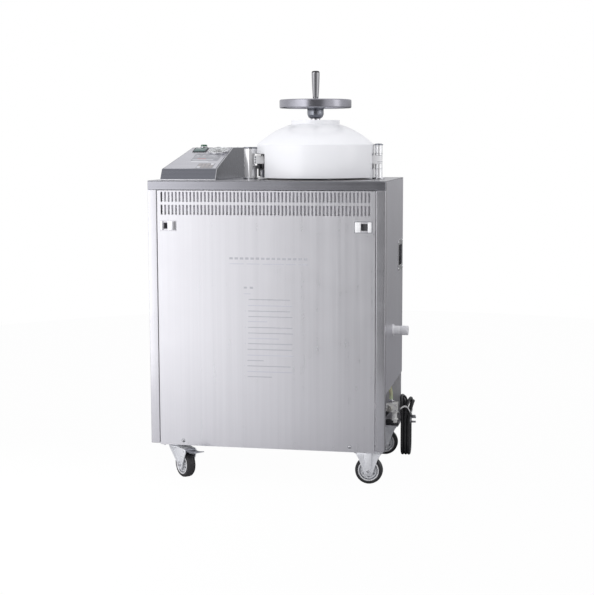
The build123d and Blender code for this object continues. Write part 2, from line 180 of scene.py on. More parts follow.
def brushed(name, color, rough=0.30, along="z", spread=0.06, streak=900.0, length=7.0, tint=0.035, bump=0.10, aniso=0.0):
    """satin metal with fine drawn lines along one axis, a little cloudiness and faint handling marks"""
    m = Nodes(name, color, 1.0, rough, Anisotropic=aniso)
    sc = {"x": (length, streak, streak), "y": (streak, length, streak), "z": (streak, streak, length)}[along]
    fine = m.noise(m.mapping(sc), 1.0, 2.0, 0.6)
    wide = m.noise(m.mapping(tuple(max(v * 0.12, 1.2) for v in sc), loc=(3.1, 1.7, 0.4)), 1.0, 3.0, 0.55)
    cloud = m.noise(m.mapping((1, 1, 1)), 3.2, 4.0, 0.6, 0.4)
    smear = m.noise(m.mapping((1, 1, 1), loc=(5, 2, 9)), 14.0, 5.0, 0.65, 0.8)
    r = m.math("MULTIPLY_ADD", fine, spread, rough - spread * 0.5)
    r = m.math("ADD", r, m.math("MULTIPLY_ADD", wide, spread * 1.1, -spread * 0.55))
    r = m.math("ADD", r, m.math("MULTIPLY_ADD", smear, 0.09, -0.045))
    m.to(r, "Roughness")
    dark = tuple(max(c - tint, 0) for c in color)
    lite = tuple(min(c + tint * 0.8, 1) for c in color)
    c1 = m.ramp(wide, [(0.25, dark), (0.75, lite)])
    c2 = m.mix(m.ramp(cloud, [(0.35, 0.0), (0.7, 0.45)]), c1, tuple(c * 0.93 for c in color))
    m.to(c2, "Base Color")
    if bump:
        b1 = m.bump(fine, bump, 0.00004)
        b2 = m.bump(cloud, 0.05, 0.0006, b1)
        m.to(b2, "Normal")
    return m.mat


def polished(name, color, rough=0.09, swirl=0.05, bump=0.03, tint=0.03, metallic=1.0):
    """bright turned or polished metal with soft smears"""
    m = Nodes(name, color, metallic, rough)
    a = m.noise(m.mapping((1, 1, 1)), 22.0, 4.0, 0.6, 0.5)
    b = m.noise(m.mapping((1, 1, 1), loc=(4, 4, 4)), 140.0, 3.0, 0.6)
    r = m.math("MULTIPLY_ADD", a, swirl, rough - swirl * 0.5)
    r = m.math("ADD", r, m.math("MULTIPLY_ADD", b, 0.03, -0.015))
    m.to(r, "Roughness")
    m.to(m.ramp(a, [(0.3, tuple(max(c - tint, 0) for c in color)), (0.7, color)]), "Base Color")
    m.to(m.bump(b, bump, 0.0001), "Normal")
    return m.mat


def turned(name, color, rough=0.22, centre=(0, 0), axis="z", rings=900.0):
    """turned metal: fine rings about an axis; the centre (row metres) and axis arguments are not used"""
    m = Nodes(name, color, 1.0, rough, Anisotropic=0.35)
    z = m.noise(m.mapping((2, 2, rings)), 1.0, 2.0, 0.6)
    a = m.noise(m.mapping((1, 1, 1)), 30.0, 4.0, 0.6, 0.4)
    r = m.math("MULTIPLY_ADD", z, 0.10, rough - 0.05)
    r = m.math("ADD", r, m.math("MULTIPLY_ADD", a, 0.08, -0.04))
    m.to(r, "Roughness")
    m.to(m.ramp(a, [(0.3, tuple(c * 0.9 for c in color)), (0.7, color)]), "Base Color")
    m.to(m.bump(z, 0.12, 0.00005), "Normal")
    return m.mat


def plastic(name, color, rough=0.35, grain=0.0, grain_scale=900.0, tint=0.03, coat=0.0, **kw):
    """moulded plastic or rubber: faint mottling, fine moulded grain, slight unevenness of gloss"""
    m = Nodes(name, color, 0.0, rough, Coat_Weight=coat, Coat_Roughness=0.08, **kw)
    a = m.noise(m.mapping((1, 1, 1)), 12.0, 4.0, 0.6, 0.3)
    g = m.noise(m.mapping((1, 1, 1), loc=(1, 7, 3)), grain_scale, 2.0, 0.5)
    dust = m.noise(m.mapping((1, 1, 1), loc=(2, 3, 5)), 70.0, 5.0, 0.7, 0.6)
    dk = tuple(max(c - tint, 0.0) for c in color)
    lt = tuple(min(c + tint * 0.6, 1.0) for c in color)
    m.to(m.ramp(a, [(0.3, dk), (0.72, lt)]), "Base Color")
    r = m.math("MULTIPLY_ADD", dust, 0.10, rough - 0.05)
    m.to(r, "Roughness")
    if grain:
        m.to(m.bump(g, grain, 0.0003), "Normal")
    else:
        m.to(m.bump(a, 0.04, 0.0008), "Normal")
    return m.mat


M = {}
M["panel"] = brushed("steel_panel", (0.70, 0.695, 0.725), 0.30, "z", 0.07, 850.0, 5.0)
M["side"] = brushed("steel_side", (0.66, 0.655, 0.69), 0.36, "z", 0.07, 850.0, 5.0)
M["post"] = brushed("steel_post", (0.60, 0.595, 0.625), 0.22, "z", 0.05, 900.0, 5.0)
# painted shade: the top rail's steel is made much darker than the posts it is folded with
M["rail"] = brushed("steel_rail_painted_shade", (0.36, 0.36, 0.39), 0.20, "x", 0.05, 900.0, 5.0)
# painted reflection: the top plate's steel is made much darker than the other sheets, standing for the dark reflection
# on it
M["top"] = brushed("steel_top_painted_reflection", (0.33, 0.33, 0.35), 0.26, "x", 0.06, 900.0, 4.0)
M["face"] = brushed("steel_face", (0.62, 0.62, 0.655), 0.30, "x", 0.06, 900.0, 6.0)
M["console"] = brushed("steel_console", (0.20, 0.205, 0.23), 0.26, "x", 0.06, 900.0, 6.0)
M["inner"] = brushed("steel_inner", (0.74, 0.735, 0.77), 0.42, "x", 0.08, 500.0, 6.0, 0.05)
M["chrome"] = polished("chrome", (0.80, 0.80, 0.82), 0.06)
M["bright"] = polished("bright_steel", (0.70, 0.70, 0.72), 0.16, 0.08)
M["wheel"] = turned("wheel_steel", (0.34, 0.338, 0.375), 0.24)
M["hub_dark"] = polished("dark_steel", (0.26, 0.27, 0.30), 0.24, 0.08)
M["zinc"] = polished("zinc_plate", (0.84, 0.85, 0.88), 0.30, 0.12, 0.10, 0.05, 0.45)
M["valve"] = polished("valve_plate", (0.95, 0.945, 0.93), 0.30, 0.12, 0.10, 0.10, 0.25)
M["zinc_dark"] = polished("zinc_shade", (0.32, 0.33, 0.36), 0.34, 0.12, 0.10, 0.05)
M["white"] = plastic("white_cover", (0.88, 0.885, 0.91), 0.32, 0.05, 1400.0, 0.012, 0.25)
M["white_matte"] = plastic("white_moulding", (0.80, 0.80, 0.82), 0.45, 0.08, 900.0, 0.02)
M["black"] = plastic("black_moulding", (0.018, 0.018, 0.021), 0.30, 0.10, 900.0, 0.008)
M["edging"] = plastic("black_edging", (0.03, 0.03, 0.034), 0.55, 0.12, 1200.0, 0.01)
M["cord"] = plastic("cord_sheath", (0.020, 0.020, 0.022), 0.42, 0.12, 1300.0, 0.008)
M["tyre"] = plastic("tyre_rubber", (0.022, 0.022, 0.024), 0.50, 0.16, 800.0, 0.01)
M["tyre_side"] = plastic("tyre_grey", (0.34, 0.345, 0.36), 0.55, 0.12, 800.0, 0.03)
M["hub"] = plastic("hub_moulding", (0.66, 0.67, 0.69), 0.42, 0.10, 800.0, 0.03)
M["silicone"] = plastic("gasket_silicone", (0.66, 0.63, 0.58), 0.5, 0.08, 700.0, 0.03)
M["display"] = plastic("display_green", (0.012, 0.075, 0.068), 0.10, 0.0, 900.0, 0.006, 0.6)
M["lamp"] = plastic("lamp_green", (0.03, 0.11, 0.06), 0.16, 0.0, 900.0, 0.01, 0.6)
M["band"] = plastic("film_grey", (0.33, 0.335, 0.36), 0.36, 0.05, 1200.0, 0.015)
M["film_pale"] = plastic("film_pale", (0.74, 0.745, 0.78), 0.34, 0.05, 1200.0, 0.015)
M["film_red"] = plastic("film_red", (0.52, 0.20, 0.20), 0.36, 0.05, 1200.0, 0.02)
M["key"] = plastic("key_film", (0.40, 0.375, 0.375), 0.40, 0.08, 1200.0, 0.02)
M["print"] = plastic("print_grey", (0.48, 0.48, 0.52), 0.5, 0.05, 1200.0, 0.02)
M["dial"] = plastic("dial_white", (0.86, 0.86, 0.86), 0.4, 0.03, 1200.0, 0.01)
M["ink"] = plastic("dial_ink", (0.02, 0.02, 0.022), 0.5, 0.03, 1200.0, 0.005)
M["tie"] = plastic("tie_white", (0.86, 0.86, 0.86), 0.36, 0.06, 900.0, 0.02)
M["print_pale"] = plastic("print_pale", (0.58, 0.58, 0.64), 0.5, 0.05, 1200.0, 0.02)
M["white_metal"] = plastic("white_enamel_metal", (0.90, 0.90, 0.91), 0.24, 0.04, 900.0, 0.02, 0.3)
M["ring"] = polished("ring_bright", (0.86, 0.86, 0.87), 0.24, 0.08, 0.03, 0.03, 0.5)
M["lid_dark"] = plastic("seal_dark", (0.07, 0.07, 0.078), 0.5, 0.10, 900.0, 0.015)
M["brass"] = polished("nickel_plate", (0.62, 0.61, 0.57), 0.26, 0.10, 0.10, 0.05)
M["latch"] = brushed("steel_latch", (0.64, 0.635, 0.66), 0.36, "z", 0.07, 850.0, 5.0)
M["satin"] = polished("satin_sheet", (0.66, 0.66, 0.68), 0.45, 0.10, 0.05, 0.04, 0.5)
# painted sheen: the chrome columns get a half-diffuse near-white colour that stands for the bright reflections on them
M["column"] = polished("column_white_painted_sheen", (0.92, 0.92, 0.93), 0.16, 0.05, 0.03, 0.02, 0.45)
M["grip_steel"] = polished("grip_steel", (0.34, 0.34, 0.35), 0.18, 0.06, 0.03, 0.03)
M["pin"] = polished("pin_plate", (0.50, 0.50, 0.52), 0.26, 0.08)
# painted shade and painted reflection: this near-black grey stands for the shade in the latch pockets and for dark
# reflections on the crank grip and in the gauge
M["shade"] = plastic("painted_shade_and_reflection_grey", (0.10, 0.10, 0.108), 0.45, 0.05, 900.0, 0.01)
M["lever"] = plastic("lever_black", (0.03, 0.03, 0.033), 0.36, 0.12, 800.0, 0.01)


def glass_mat():
    m = Nodes("gauge_glass", (0.95, 0.97, 0.97), 0.0, 0.03, IOR=1.45, Transmission_Weight=0.92, Alpha=1.0)
    a = m.noise(m.mapping((1, 1, 1)), 30.0, 3.0)
    m.to(m.math("MULTIPLY_ADD", a, 0.03, 0.01), "Roughness")
    return m.mat


def hose_mat():
    m = Nodes("hose_clear", (0.72, 0.74, 0.50), 0.0, 0.20, IOR=1.43, Transmission_Weight=0.35, Subsurface_Weight=0.15)
    a = m.noise(m.mapping((1, 1, 1)), 40.0, 4.0, 0.6, 0.4)
    m.to(m.ramp(a, [(0.3, (0.58, 0.62, 0.36)), (0.7, (0.82, 0.84, 0.62))]), "Base Color")
    m.to(m.math("MULTIPLY_ADD", a, 0.16, 0.12), "Roughness")
    return m.mat


M["glass"] = glass_mat()
M["hose"] = hose_mat()


# ------------------------------------------------------------------ mesh helpers
def finish_mesh(bm, name, material, body, sharp=35.0, weld=True):
    if weld:
        bmesh.ops.remove_doubles(bm, verts=bm.verts, dist=0.000004)
    bmesh.ops.recalc_face_normals(bm, faces=bm.faces)
    for f in bm.faces:
        f.smooth = True
    lim = math.radians(sharp)
    for e in bm.edges:
        e.smooth = not (len(e.link_faces) == 2 and e.calc_face_angle(0.0) > lim)
    me = bpy.data.meshes.new(name)
    bm.to_mesh(me)
    bm.free()
    ob = bpy.data.objects.new(name, me)
    COL.objects.link(ob)
    for mt in (material if isinstance(material, (list, tuple)) else [material]):
        me.materials.append(M[mt])
    if body:
        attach(ob, body)
    return ob


def frame_of(origin, axis):
    """matrix with local Z along axis, at origin (row metres)"""
    z = Vector(axis).normalized()
    x = Vector((1, 0, 0)) if abs(z.x) < 0.9 else Vector((0, 1, 0))
    x = (x - z * x.dot(z)).normalized()
    y = z.cross(x)
    return Matrix.Translation(Vector(origin)) @ Matrix((x, y, z)).transposed().to_4x4()


def lathe(bm, profile, mat4, seg=72, mi=0, closed=True):
    """closed profile of (r, h) in mm turned about local Z of mat4; points with r = 0 join to the axis"""
    rings = []
    for r, h in profile:
        if r < 1e-6:
            rings.append([bm.verts.new(mat4 @ Vector((0, 0, h / 1000)))])
        else:
            rings.append([bm.verts.new(mat4 @ Vector((r / 1000 * math.cos(2 * math.pi * k / seg),
                                                      r / 1000 * math.sin(2 * math.pi * k / seg), h / 1000))) for k in range(seg)])
    n = len(rings)
    for i in range(n if closed else n - 1):
        a, b = rings[i], rings[(i + 1) % n]
        if len(a) == 1 and len(b) == 1:
            continue
        for k in range(seg):
            k2 = (k + 1) % seg
            if len(a) == 1:
                f = bm.faces.new((a[0], b[k], b[k2]))
            elif len(b) == 1:
                f = bm.faces.new((a[k], b[0], a[k2]))
            else:
                f = bm.faces.new((a[k], b[k], b[k2], a[k2]))
            f.material_index = mi
    return bm


def fillet(points, radius, seg=4, closed=True):
    """rounds the corners of an r-h or x-y outline; radius is one number or one for each point"""
    n = len(points)
    out = []
    for i in range(n):
        p = Vector(points[i])
        r = radius[i] if isinstance(radius, (list, tuple)) else radius
        if (not closed and i in (0, n - 1)) or r <= 0:
            out.append(tuple(p))
            continue
        a, b = Vector(points[i - 1]) - p, Vector(points[(i + 1) % n]) - p
        la, lb = a.length, b.length
        if la < 1e-6 or lb < 1e-6:
            out.append(tuple(p))
            continue
        a, b = a / la, b / lb
        ang = math.acos(max(-1, min(1, a.dot(b))))
        if ang > math.radians(176) or ang < math.radians(4):
            out.append(tuple(p))
            continue
        t = min(r / math.tan(ang / 2), la * 0.48, lb * 0.48)
        rr = t * math.tan(ang / 2)
        c = p + (a + b).normalized() * (rr / math.sin(ang / 2))
        s, e = p + a * t - c, p + b * t - c
        th = math.pi - ang
        sgn = 1 if s.x * e.y - s.y * e.x > 0 else -1
        for k in range(seg + 1):
            q = sgn * th * k / seg
            out.append((c.x + s.x * math.cos(q) - s.y * math.sin(q), c.y + s.x * math.sin(q) + s.y * math.cos(q)))
    return out


def box_bm(bm, x0, x1, y0, y1, z0, z1, bevel=0.6, seg=2, mi=0, mat4=None):
    """rounded box, mm about the cabinet middle, or local mm of mat4"""
    vs = []
    for x in (x0, x1):
        for y in (y0, y1):
            for z in (z0, z1):
                v = (mat4 @ Vector((x / 1000, y / 1000, z / 1000))) if mat4 is not None else P(x, y, z)
                vs.append(bm.verts.new(v))
    idx = ((0, 1, 3, 2), (4, 6, 7, 5), (0, 4, 5, 1), (2, 3, 7, 6), (0, 2, 6, 4), (1, 5, 7, 3))
    fs = [bm.faces.new([vs[i] for i in f]) for f in idx]
    for f in fs:
        f.material_index = mi
    if bevel:
        es = list({e for f in fs for e in f.edges})
        r = bmesh.ops.bevel(bm, geom=es, offset=bevel / 1000, segments=seg, profile=0.5, affect="EDGES", clamp_overlap=True)
        for f in r["faces"]:
            f.material_index = mi
    return bm


def plate_bm(bm, outline, mat4, z0, z1, bevel=0.5, seg=2, mi=0):
    """flat plate of an x-y outline (mm, local of mat4) from z0 to z1, with rounded rims"""
    lo = [bm.verts.new(mat4 @ Vector((x / 1000, y / 1000, z0 / 1000))) for x, y in outline]
    hi = [bm.verts.new(mat4 @ Vector((x / 1000, y / 1000, z1 / 1000))) for x, y in outline]
    fb, ft = bm.faces.new(list(reversed(lo))), bm.faces.new(hi)
    fs = [fb, ft]
    n = len(lo)
    for i in range(n):
        fs.append(bm.faces.new((lo[i], lo[(i + 1) % n], hi[(i + 1) % n], hi[i])))
    for f in fs:
        f.material_index = mi
    if bevel:
        es = list(fb.edges) + list(ft.edges)
        r = bmesh.ops.bevel(bm, geom=es, offset=bevel / 1000, segments=seg, profile=0.5, affect="EDGES", clamp_overlap=True)
        for f in r["faces"]:
            f.material_index = mi
    return bm


def flat_faces(ob):
    """lets the large faces keep their own normal beside the rounded edges, as a plain mesh"""
    md = ob.modifiers.new("weighted", "WEIGHTED_NORMAL")
    md.keep_sharp = True
    bpy.context.view_layer.update()
    dg = bpy.context.evaluated_depsgraph_get()
    me = bpy.data.meshes.new_from_object(ob.evaluated_get(dg), preserve_all_data_layers=True, depsgraph=dg)
    old = ob.data
    ob.modifiers.clear()
    ob.data = me
    me.name = old.name
    bpy.data.meshes.remove(old)


def refine(node, name, material, bevel=0.5, seg=2, angle=32.0, sharp=38.0, flat=True):
    """copy of a CAD node with its hard edges softly rounded, which stands for it"""
    src = NODES[node]
    bm = bmesh.new()
    bm.from_mesh(src.data)
    bmesh.ops.remove_doubles(bm, verts=bm.verts, dist=0.000008)
    bmesh.ops.dissolve_limit(bm, angle_limit=math.radians(0.6), verts=bm.verts, edges=bm.edges)
    for f in bm.faces:
        f.material_index = 0
    if bevel:
        lim = math.radians(angle)
        es = [e for e in bm.edges if len(e.link_faces) == 2 and e.calc_face_angle(0.0) > lim]
        bmesh.ops.bevel(bm, geom=es, offset=bevel / 1000, segments=seg, profile=0.5, affect="EDGES", clamp_overlap=True)
    ob = finish_mesh(bm, name, material, src["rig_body"], sharp, weld=False)
    if flat:
        flat_faces(ob)
    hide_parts(node)
    return ob


def cad(node, material):
    o = NODES[node]
    o.data.materials.clear()
    o.data.materials.append(M[material])
    return o


def dome_screw(bm, pos, axis, r=4.0, h=2.2, mi=0, slot_w=0.0):
    """small domed screw head standing on a face"""
    prof = [(0, h), (r * 0.30, h * 0.98), (r * 0.62, h * 0.82), (r * 0.86, h * 0.5), (r, 0.12), (r, -0.2), (0, -0.2)]
    lathe(bm, prof, frame_of(pos, axis), 24, mi, closed=False)


def hex_bolt(bm, pos, axis, across=11.0, h=5.0, mi=0, turn=0.0):
    m4 = frame_of(pos, axis)
    r = across / 2 / math.cos(math.pi / 6)
    pts = [(r * math.cos(math.pi / 3 * k + turn), r * math.sin(math.pi / 3 * k + turn)) for k in range(6)]
    plate_bm(bm, pts, m4, -0.2, h, 0.7, 2, mi)
    lathe(bm, [(0, h - 0.4), (r * 0.72, h - 0.4), (r * 0.78, h - 0.1), (r * 0.72, h + 0.25), (0, h + 0.4)], m4, 24, mi, closed=False)


def obj(name, material, body, fn, sharp=35.0, weld=True):
    bm = bmesh.new()
    fn(bm)
    return finish_mesh(bm, name, material, body, sharp, weld)


def curve_obj(name, points, radius, material, body, cyclic=False, res=12):
    cu = bpy.data.curves.new(name, "CURVE")
    cu.dimensions = "3D"
    cu.bevel_depth = radius
    cu.bevel_resolution = 5
    cu.resolution_u = res
    cu.use_fill_caps = True
    sp = cu.splines.new("NURBS")
    sp.points.add(len(points) - 1)
    for p, q in zip(sp.points, points):
        p.co = (*q, 1.0)
    sp.order_u = 3
    if cyclic:
        sp.use_cyclic_u = True
    else:
        sp.use_endpoint_u = True
    ob = bpy.data.objects.new(name, cu)
    COL.objects.link(ob)
    cu.materials.append(M[material])
    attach(ob, body)
    return ob


# ------------------------------------------------------------------ mains cord
# the free stretch, then a bobbin-like hank of three outer and two inner turns, then the plug
CR = 4.5
YC = 164.0
stretch = [(303, 218, 191), (304.5, 218.5, 177), (309.5, 219, 164), (317, 218.5, 152), (325.5, 215, 141),
           (332, 208, 130), (335.5, 199, 119), (335.0, 191, 107)]
hank_pts = []


def fold(x_a, x_b, half, z, sgn, lean=0.0, late=False):
    """four points round one end of a turn; sgn 1 is the top, from the front run to the rear one"""
    out = []
    rho = half / 0.924
    for k, q in enumerate((22.5, 67.5, 112.5, 157.5)):
        t = k / 3.0
        a = math.radians(q)
        y = -rho * math.cos(a) if sgn > 0 else rho * math.cos(a)
        s = t ** 3 if late else min(1.0, t * 1.6) if sgn > 0 else t
        out.append((x_a + (x_b - x_a) * s + lean * math.sin(a), YC + y, z + sgn * rho * math.sin(a)))
    return out


XA, XB, XC = 333.6, 342.9, 351.9
RO, RI = 25.5, 16.2
TOP_O, BOT_O = 171.0 - RO, 7.2 + RO
TOP_I, BOT_I = 171.0 - 9.6 - RI, 7.2 + 9.6 + RI


def run(x, y, zs, x2=None):
    return [(x if x2 is None else x + (x2 - x) * i / (len(zs) - 1), y, z) for i, z in enumerate(zs)]


hank_pts += run(XA, YC + RO, (92, 74, 56))
hank_pts += fold(XA, XA, RO, BOT_O, -1)
hank_pts += run(XA, YC - RO, (56, 92, 126))
hank_pts += fold(XA, XB, RO, TOP_O + 8, 1, -5.5, True)
hank_pts += run(XB, YC + RO, (126, 92, 56))
hank_pts += fold(XB, XB, RO, BOT_O, -1)
hank_pts += run(XB, YC - RO, (56, 92, 126))
hank_pts += fold(XB, XC, RO, TOP_O + 1, 1, 11.5, True)
hank_pts += run(XC, YC + RO, (122, 90, 56))
hank_pts += fold(XC, XC, RO, BOT_O, -1)
hank_pts += run(XC, YC - RO, (56, 90, 120))
# over to the inner layer
hank_pts += [(XC + 7.0, YC - RO + 0.5, 147), (XC + 12.0, YC - 14, 165), (XC + 12.0, YC + 4, 165), (XC + 1.5, YC + 13, 147)]
hank_pts += run(XC, YC + RI, (128, 106, 84, 60))
hank_pts += fold(XC, XC, RI, BOT_I, -1)
hank_pts += run(XC, YC - RI, (58, 84, 106, 124), XB + 1.5)
hank_pts += fold(XB + 1.5, XA + 2, RI, TOP_I + 8, 1, -3.0)
hank_pts += run(XA + 0.4, YC + RI, (122, 96, 60))
hank_pts += fold(XA + 1, XA + 3, RI, BOT_I, -1)
hank_pts += [(XA + 6, YC - RI, 46), (XA + 11, YC - 11, 60), (348.5, YC - 2, 74), (348.5, YC, 86), (348.5, YC, 96)]
cord_route = stretch + hank_pts
cord_ob = curve_obj("cord_line", [P(*p) for p in cord_route], CR / 1000, "cord", "cabinet", res=16)
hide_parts("cord_tube", "cord_hank")


def cord_len():
    me = bpy.data.meshes.new_from_object(cord_ob)  # bevelled: measured from a bare copy instead
    bpy.data.meshes.remove(me)
    c = cord_ob.data.copy()
    c.bevel_depth = 0.0
    t = bpy.data.objects.new("tmp_line", c)
    COL.objects.link(t)
    bpy.context.view_layer.update()
    line = bpy.data.meshes.new_from_object(t)
    pts = [v.co.copy() for v in line.vertices]
    tot = sum((a - b).length for a, b in zip(pts, pts[1:]))
    bpy.data.objects.remove(t)
    bpy.data.curves.remove(c)
    bpy.data.meshes.remove(line)
    return tot


CORD_LENGTH = round(cord_len(), 3)
print("cord length", CORD_LENGTH)


# tapered strain relief under the inlet box on the rear panel
def gland(bm):
    m4 = Matrix.Translation(P(303, 218, 0))
    lathe(bm, fillet([(0, 212), (11, 212), (11, 206), (9.2, 204.6), (8.6, 201), (6.4, 192), (5.9, 191), (0, 191)],
                     [0, 0.6, 1.2, 1.0, 1.0, 0.8, 0.5, 0], 3), m4, 48, 0)
    for k in range(4):
        z = 202.5 - 3.0 * k
        r = 8.9 - 0.55 * k
        lathe(bm, fillet([(r - 1.6, z - 0.7), (r + 0.25, z - 0.7), (r + 0.25, z + 0.7), (r - 1.6, z + 0.7)], 0.3, 2), m4, 40, 0)


gland_ob = obj("cord_relief", "black", "cabinet", gland)
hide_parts("cord_gland")


def tie(bm):
    # flat strap round the hank, pulled up towards the inner corner
    outline = fillet([(328.4, 132.6), (358.7, 132.6), (358.7, 195.4), (328.4, 195.4)], 8.0, 6)
    fine = []
    for (xa, ya), (xb, yb) in zip(outline, outline[1:] + outline[:1]):
        steps = max(1, int(math.hypot(xb - xa, yb - ya) / 2.2))
        fine += [(xa + (xb - xa) * q / steps, ya + (yb - ya) * q / steps) for q in range(steps)]
    outline = fine
    n = len(outline)
    loops = []
    for w, off in ((-2.4, 0.0), (2.4, 0.0), (2.4, 1.5), (-2.4, 1.5)):
        ring = []
        for x, y in outline:
            zc = 153.5 - (0.098 if x > 344.0 else 0.04) * (x - 344.0) ** 2
            cx, cy = 343.0, 164.0
            d = Vector((x - cx, y - cy)).normalized()
            ring.append(bm.verts.new(P(x + d.x * off * 0.9, y + d.y * off * 0.9, zc + w)))
        loops.append(ring)
    for a in range(4):
        b = (a + 1) % 4
        for i in range(n):
            j = (i + 1) % n
            bm.faces.new((loops[a][i], loops[a][j], loops[b][j], loops[b][i]))


tie_ob = obj("hank_tie", "tie", "cabinet", tie)
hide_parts("cord_tie")


def plug(bm):
    pts = fillet([(153.4, 98.0), (158.5, 94.8), (169.5, 94.8), (174.6, 98.0), (174.6, 127.0), (170.0, 130.2), (158.0, 130.2), (153.4, 127.0)], 2.0, 3)
    m4 = Matrix.Translation(P(0, 0, 0)) @ Matrix(((0, 0, 1, 0), (1, 0, 0, 0), (0, 1, 0, 0), (0, 0, 0, 1)))
    plate_bm(bm, pts, m4, 341.2, 354.6, 1.2, 3, 0)
    rib = fillet([(155.6, 100.0), (172.4, 100.0), (172.4, 125.0), (155.6, 125.0)], 2.0, 3)
    plate_bm(bm, rib, m4, 354.0, 356.0, 0.5, 2, 2)
    for dy, dz in ((-6, 9), (6, 2), (0, -10)):
        y, z = 164 + dy, 112 + dz
        box_bm(bm, 355.5, 371.0, y - 3.0, y + 3.0, z - 2.6, z + 2.6, 0.8, 3, 1)


plug_ob = obj("cord_plug", ["black", "pin", "band"], "cabinet", plug)
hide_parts("mains_plug")


# ------------------------------------------------------------------ cabinet sheets
refine("front_left_post", "post_left", "post", 1.6, 3)
refine("front_right_post", "post_right", "post", 1.6, 3)
refine("front_top_rail", "rail_front", "rail", 1.2, 3)
refine("top_plate", "plate_top", "top", 0.8, 2)
refine("left_panel", "panel_left", "side", 0.7, 2)
refine("right_panel", "panel_right", "side", 0.7, 2)
refine("rear_panel", "panel_rear", "side", 0.7, 2)
refine("front_panel", "panel_front", "panel", 0.35, 1)
refine("base_tray", "tray_base", "inner", 0.5, 2)
refine("service_bay_liner", "bay_liner", "inner", 0.5, 2)
refine("panel_latches", "latch_frames", "latch", 0.5, 2)
refine("side_grips", "grip_pockets", "bright", 0.5, 2)
refine("console_body", "console_shell", "console", 1.4, 3)
cad("chamber_vessel", "inner")
cad("chamber_gasket", "silicone")

refine("inlet_box", "inlet_case", "black", 1.6, 3)


def bay_back(bm):
    # satin sheet over the inside of the rear panel in the service bay
    box_bm(bm, 238.3, 322.6, 197.0, 197.9, 97.6, 245.6, 0.2, 1, 0)


obj("bay_back_sheet", "satin", "cabinet", bay_back)


def at(x, y, z=0.0):
    return Matrix.Translation(P(x, y, z))


def rot_z(deg):
    return Matrix.Rotation(math.radians(deg), 4, "Z")


# local x along +X, local y up, local z towards the front
FRONT4 = Matrix(((1, 0, 0, 0), (0, 0, -1, 0), (0, 1, 0, 0), (0, 0, 0, 1)))
# local z along +X
SIDE4 = Matrix(((0, 0, 1, 0), (1, 0, 0, 0), (0, 1, 0, 0), (0, 0, 0, 1)))


# ------------------------------------------------------------------ front panel: backing of the slots, printing, screws
def backing(bm):
    box_bm(bm, -292, 292, -190.5, -189.5, 718, 790, 0.3, 1, 0)


obj("vent_backing", "inner", "cabinet", backing)

LINES = ((-45, 68.5, 499), (-47, 75, 482.5), (-47, 69.5, 467.6), (-46.5, 75, 452.6), (-47.5, 5.5, 439), (-47.5, 75, 423),
         (-47.6, 76.5, 407.6), (-47.7, 37.5, 393), (-47.8, 74.7, 378.6), (-49.7, 73.3, 363), (-49.8, 76.3, 347),
         (-49.9, -4.7, 332.5), (-50.1, 69.6, 317.5), (-50.2, 74, 302), (-49.4, 18, 288))


def ruled(bm):
    f4 = at(0, -200) @ FRONT4

    def bar(x0, x1, z0, z1, mi):
        plate_bm(bm, [(x0, z0), (x1, z0), (x1, z1), (x0, z1)], f4, -0.05, 0.12, 0.0, 1, mi)
    for k in range(15):
        x = -98 + k * 14.6
        bar(x, x + 9.4, 606.8, 612.6, 1)
    for x0, x1 in ((-98, -58), (-50, -14), (-6, 52), (58, 86), (92, 118)):
        bar(x0, x1, 594.0, 596.2, 0)
    bar(-58.6, -50, 528.4, 533.4, 1)
    bar(-42, -33, 528.4, 533.4, 1)
    bar(-58, -40, 513.0, 515.2, 0)
    for i, (x0, x1, z) in enumerate(LINES):
        bar(x0, x1, z - 1.3, z + 1.3, 1 if i % 3 != 1 else 0)
        if i in (2, 5, 8, 12):
            bar(x0 - 9, x0 - 6.4, z - 1.2, z + 1.2, 0)


obj("ruled_block", ["print_pale", "print"], "cabinet", ruled)


def door_screws(bm):
    for x, z in ((-232.9, 102.8), (230.7, 104.4)):
        lathe(bm, [(0, 0.35), (5.0, 0.35), (5.4, 0.1), (5.4, -0.2), (0, -0.2)], frame_of(P(x, -200, z), (0, -1, 0)), 36, 1, closed=False)
        dome_screw(bm, P(x, -200.3, z), (0, -1, 0), 3.8, 2.2, 0)
        # painted shade: two thin dark bars on each screw head stand for the shade in its cross recess
        box_bm(bm, x - 1.9, x + 1.9, -202.6, -202.1, z - 0.4, z + 0.4, 0.0, 1, 2)
        box_bm(bm, x - 0.4, x + 0.4, -202.6, -202.1, z - 1.9, z + 1.9, 0.0, 1, 2)


obj("door_screws", ["bright", "band", "ink"], "cabinet", door_screws)


def latch_trim(bm):
    for x0, x1, z0, z1, a, b in ((-291.0, -245.0, 682.0, 710.0, -280.0, -270.0), (242.5, 289.5, 681.5, 711.5, 260.0, 278.0)):
        rightone = x0 > 0
        w = 1.6
        if rightone:
            for q in ((x0 - 0.6, x1 + 0.6, z1 - w, z1 + 0.6), (x0 - 0.6, x1 + 0.6, z0 - 0.6, z0 + w), (x1 - w, x1 + 0.6, z0, z1), (x0 - 0.6, x0 + w, z0, z1)):
                box_bm(bm, q[0], q[1], -201.9, -199.5, q[2], q[3], 0.4, 2, 1)
        pl = 0 if rightone else 3
        box_bm(bm, x0 + 1.4, a - 0.8, -201.6, -200.6, z0 + 1.6, z1 - 1.6, 0.4, 2, pl)
        box_bm(bm, b + 0.8, x1 - 1.4, -201.6, -200.6, z0 + 1.6, z1 - 1.6, 0.4, 2, pl)
        # painted shade: a dark sheet at the back of the finger pocket stands for the shade in it
        box_bm(bm, a + 0.1, b - 0.1, -187.6, -187.1, z0 + 6.1, z1 - 6.1, 0.1, 1, 4)


obj("latch_trim", ["white_metal", "band", "ink", "panel", "shade"], "cabinet", latch_trim)


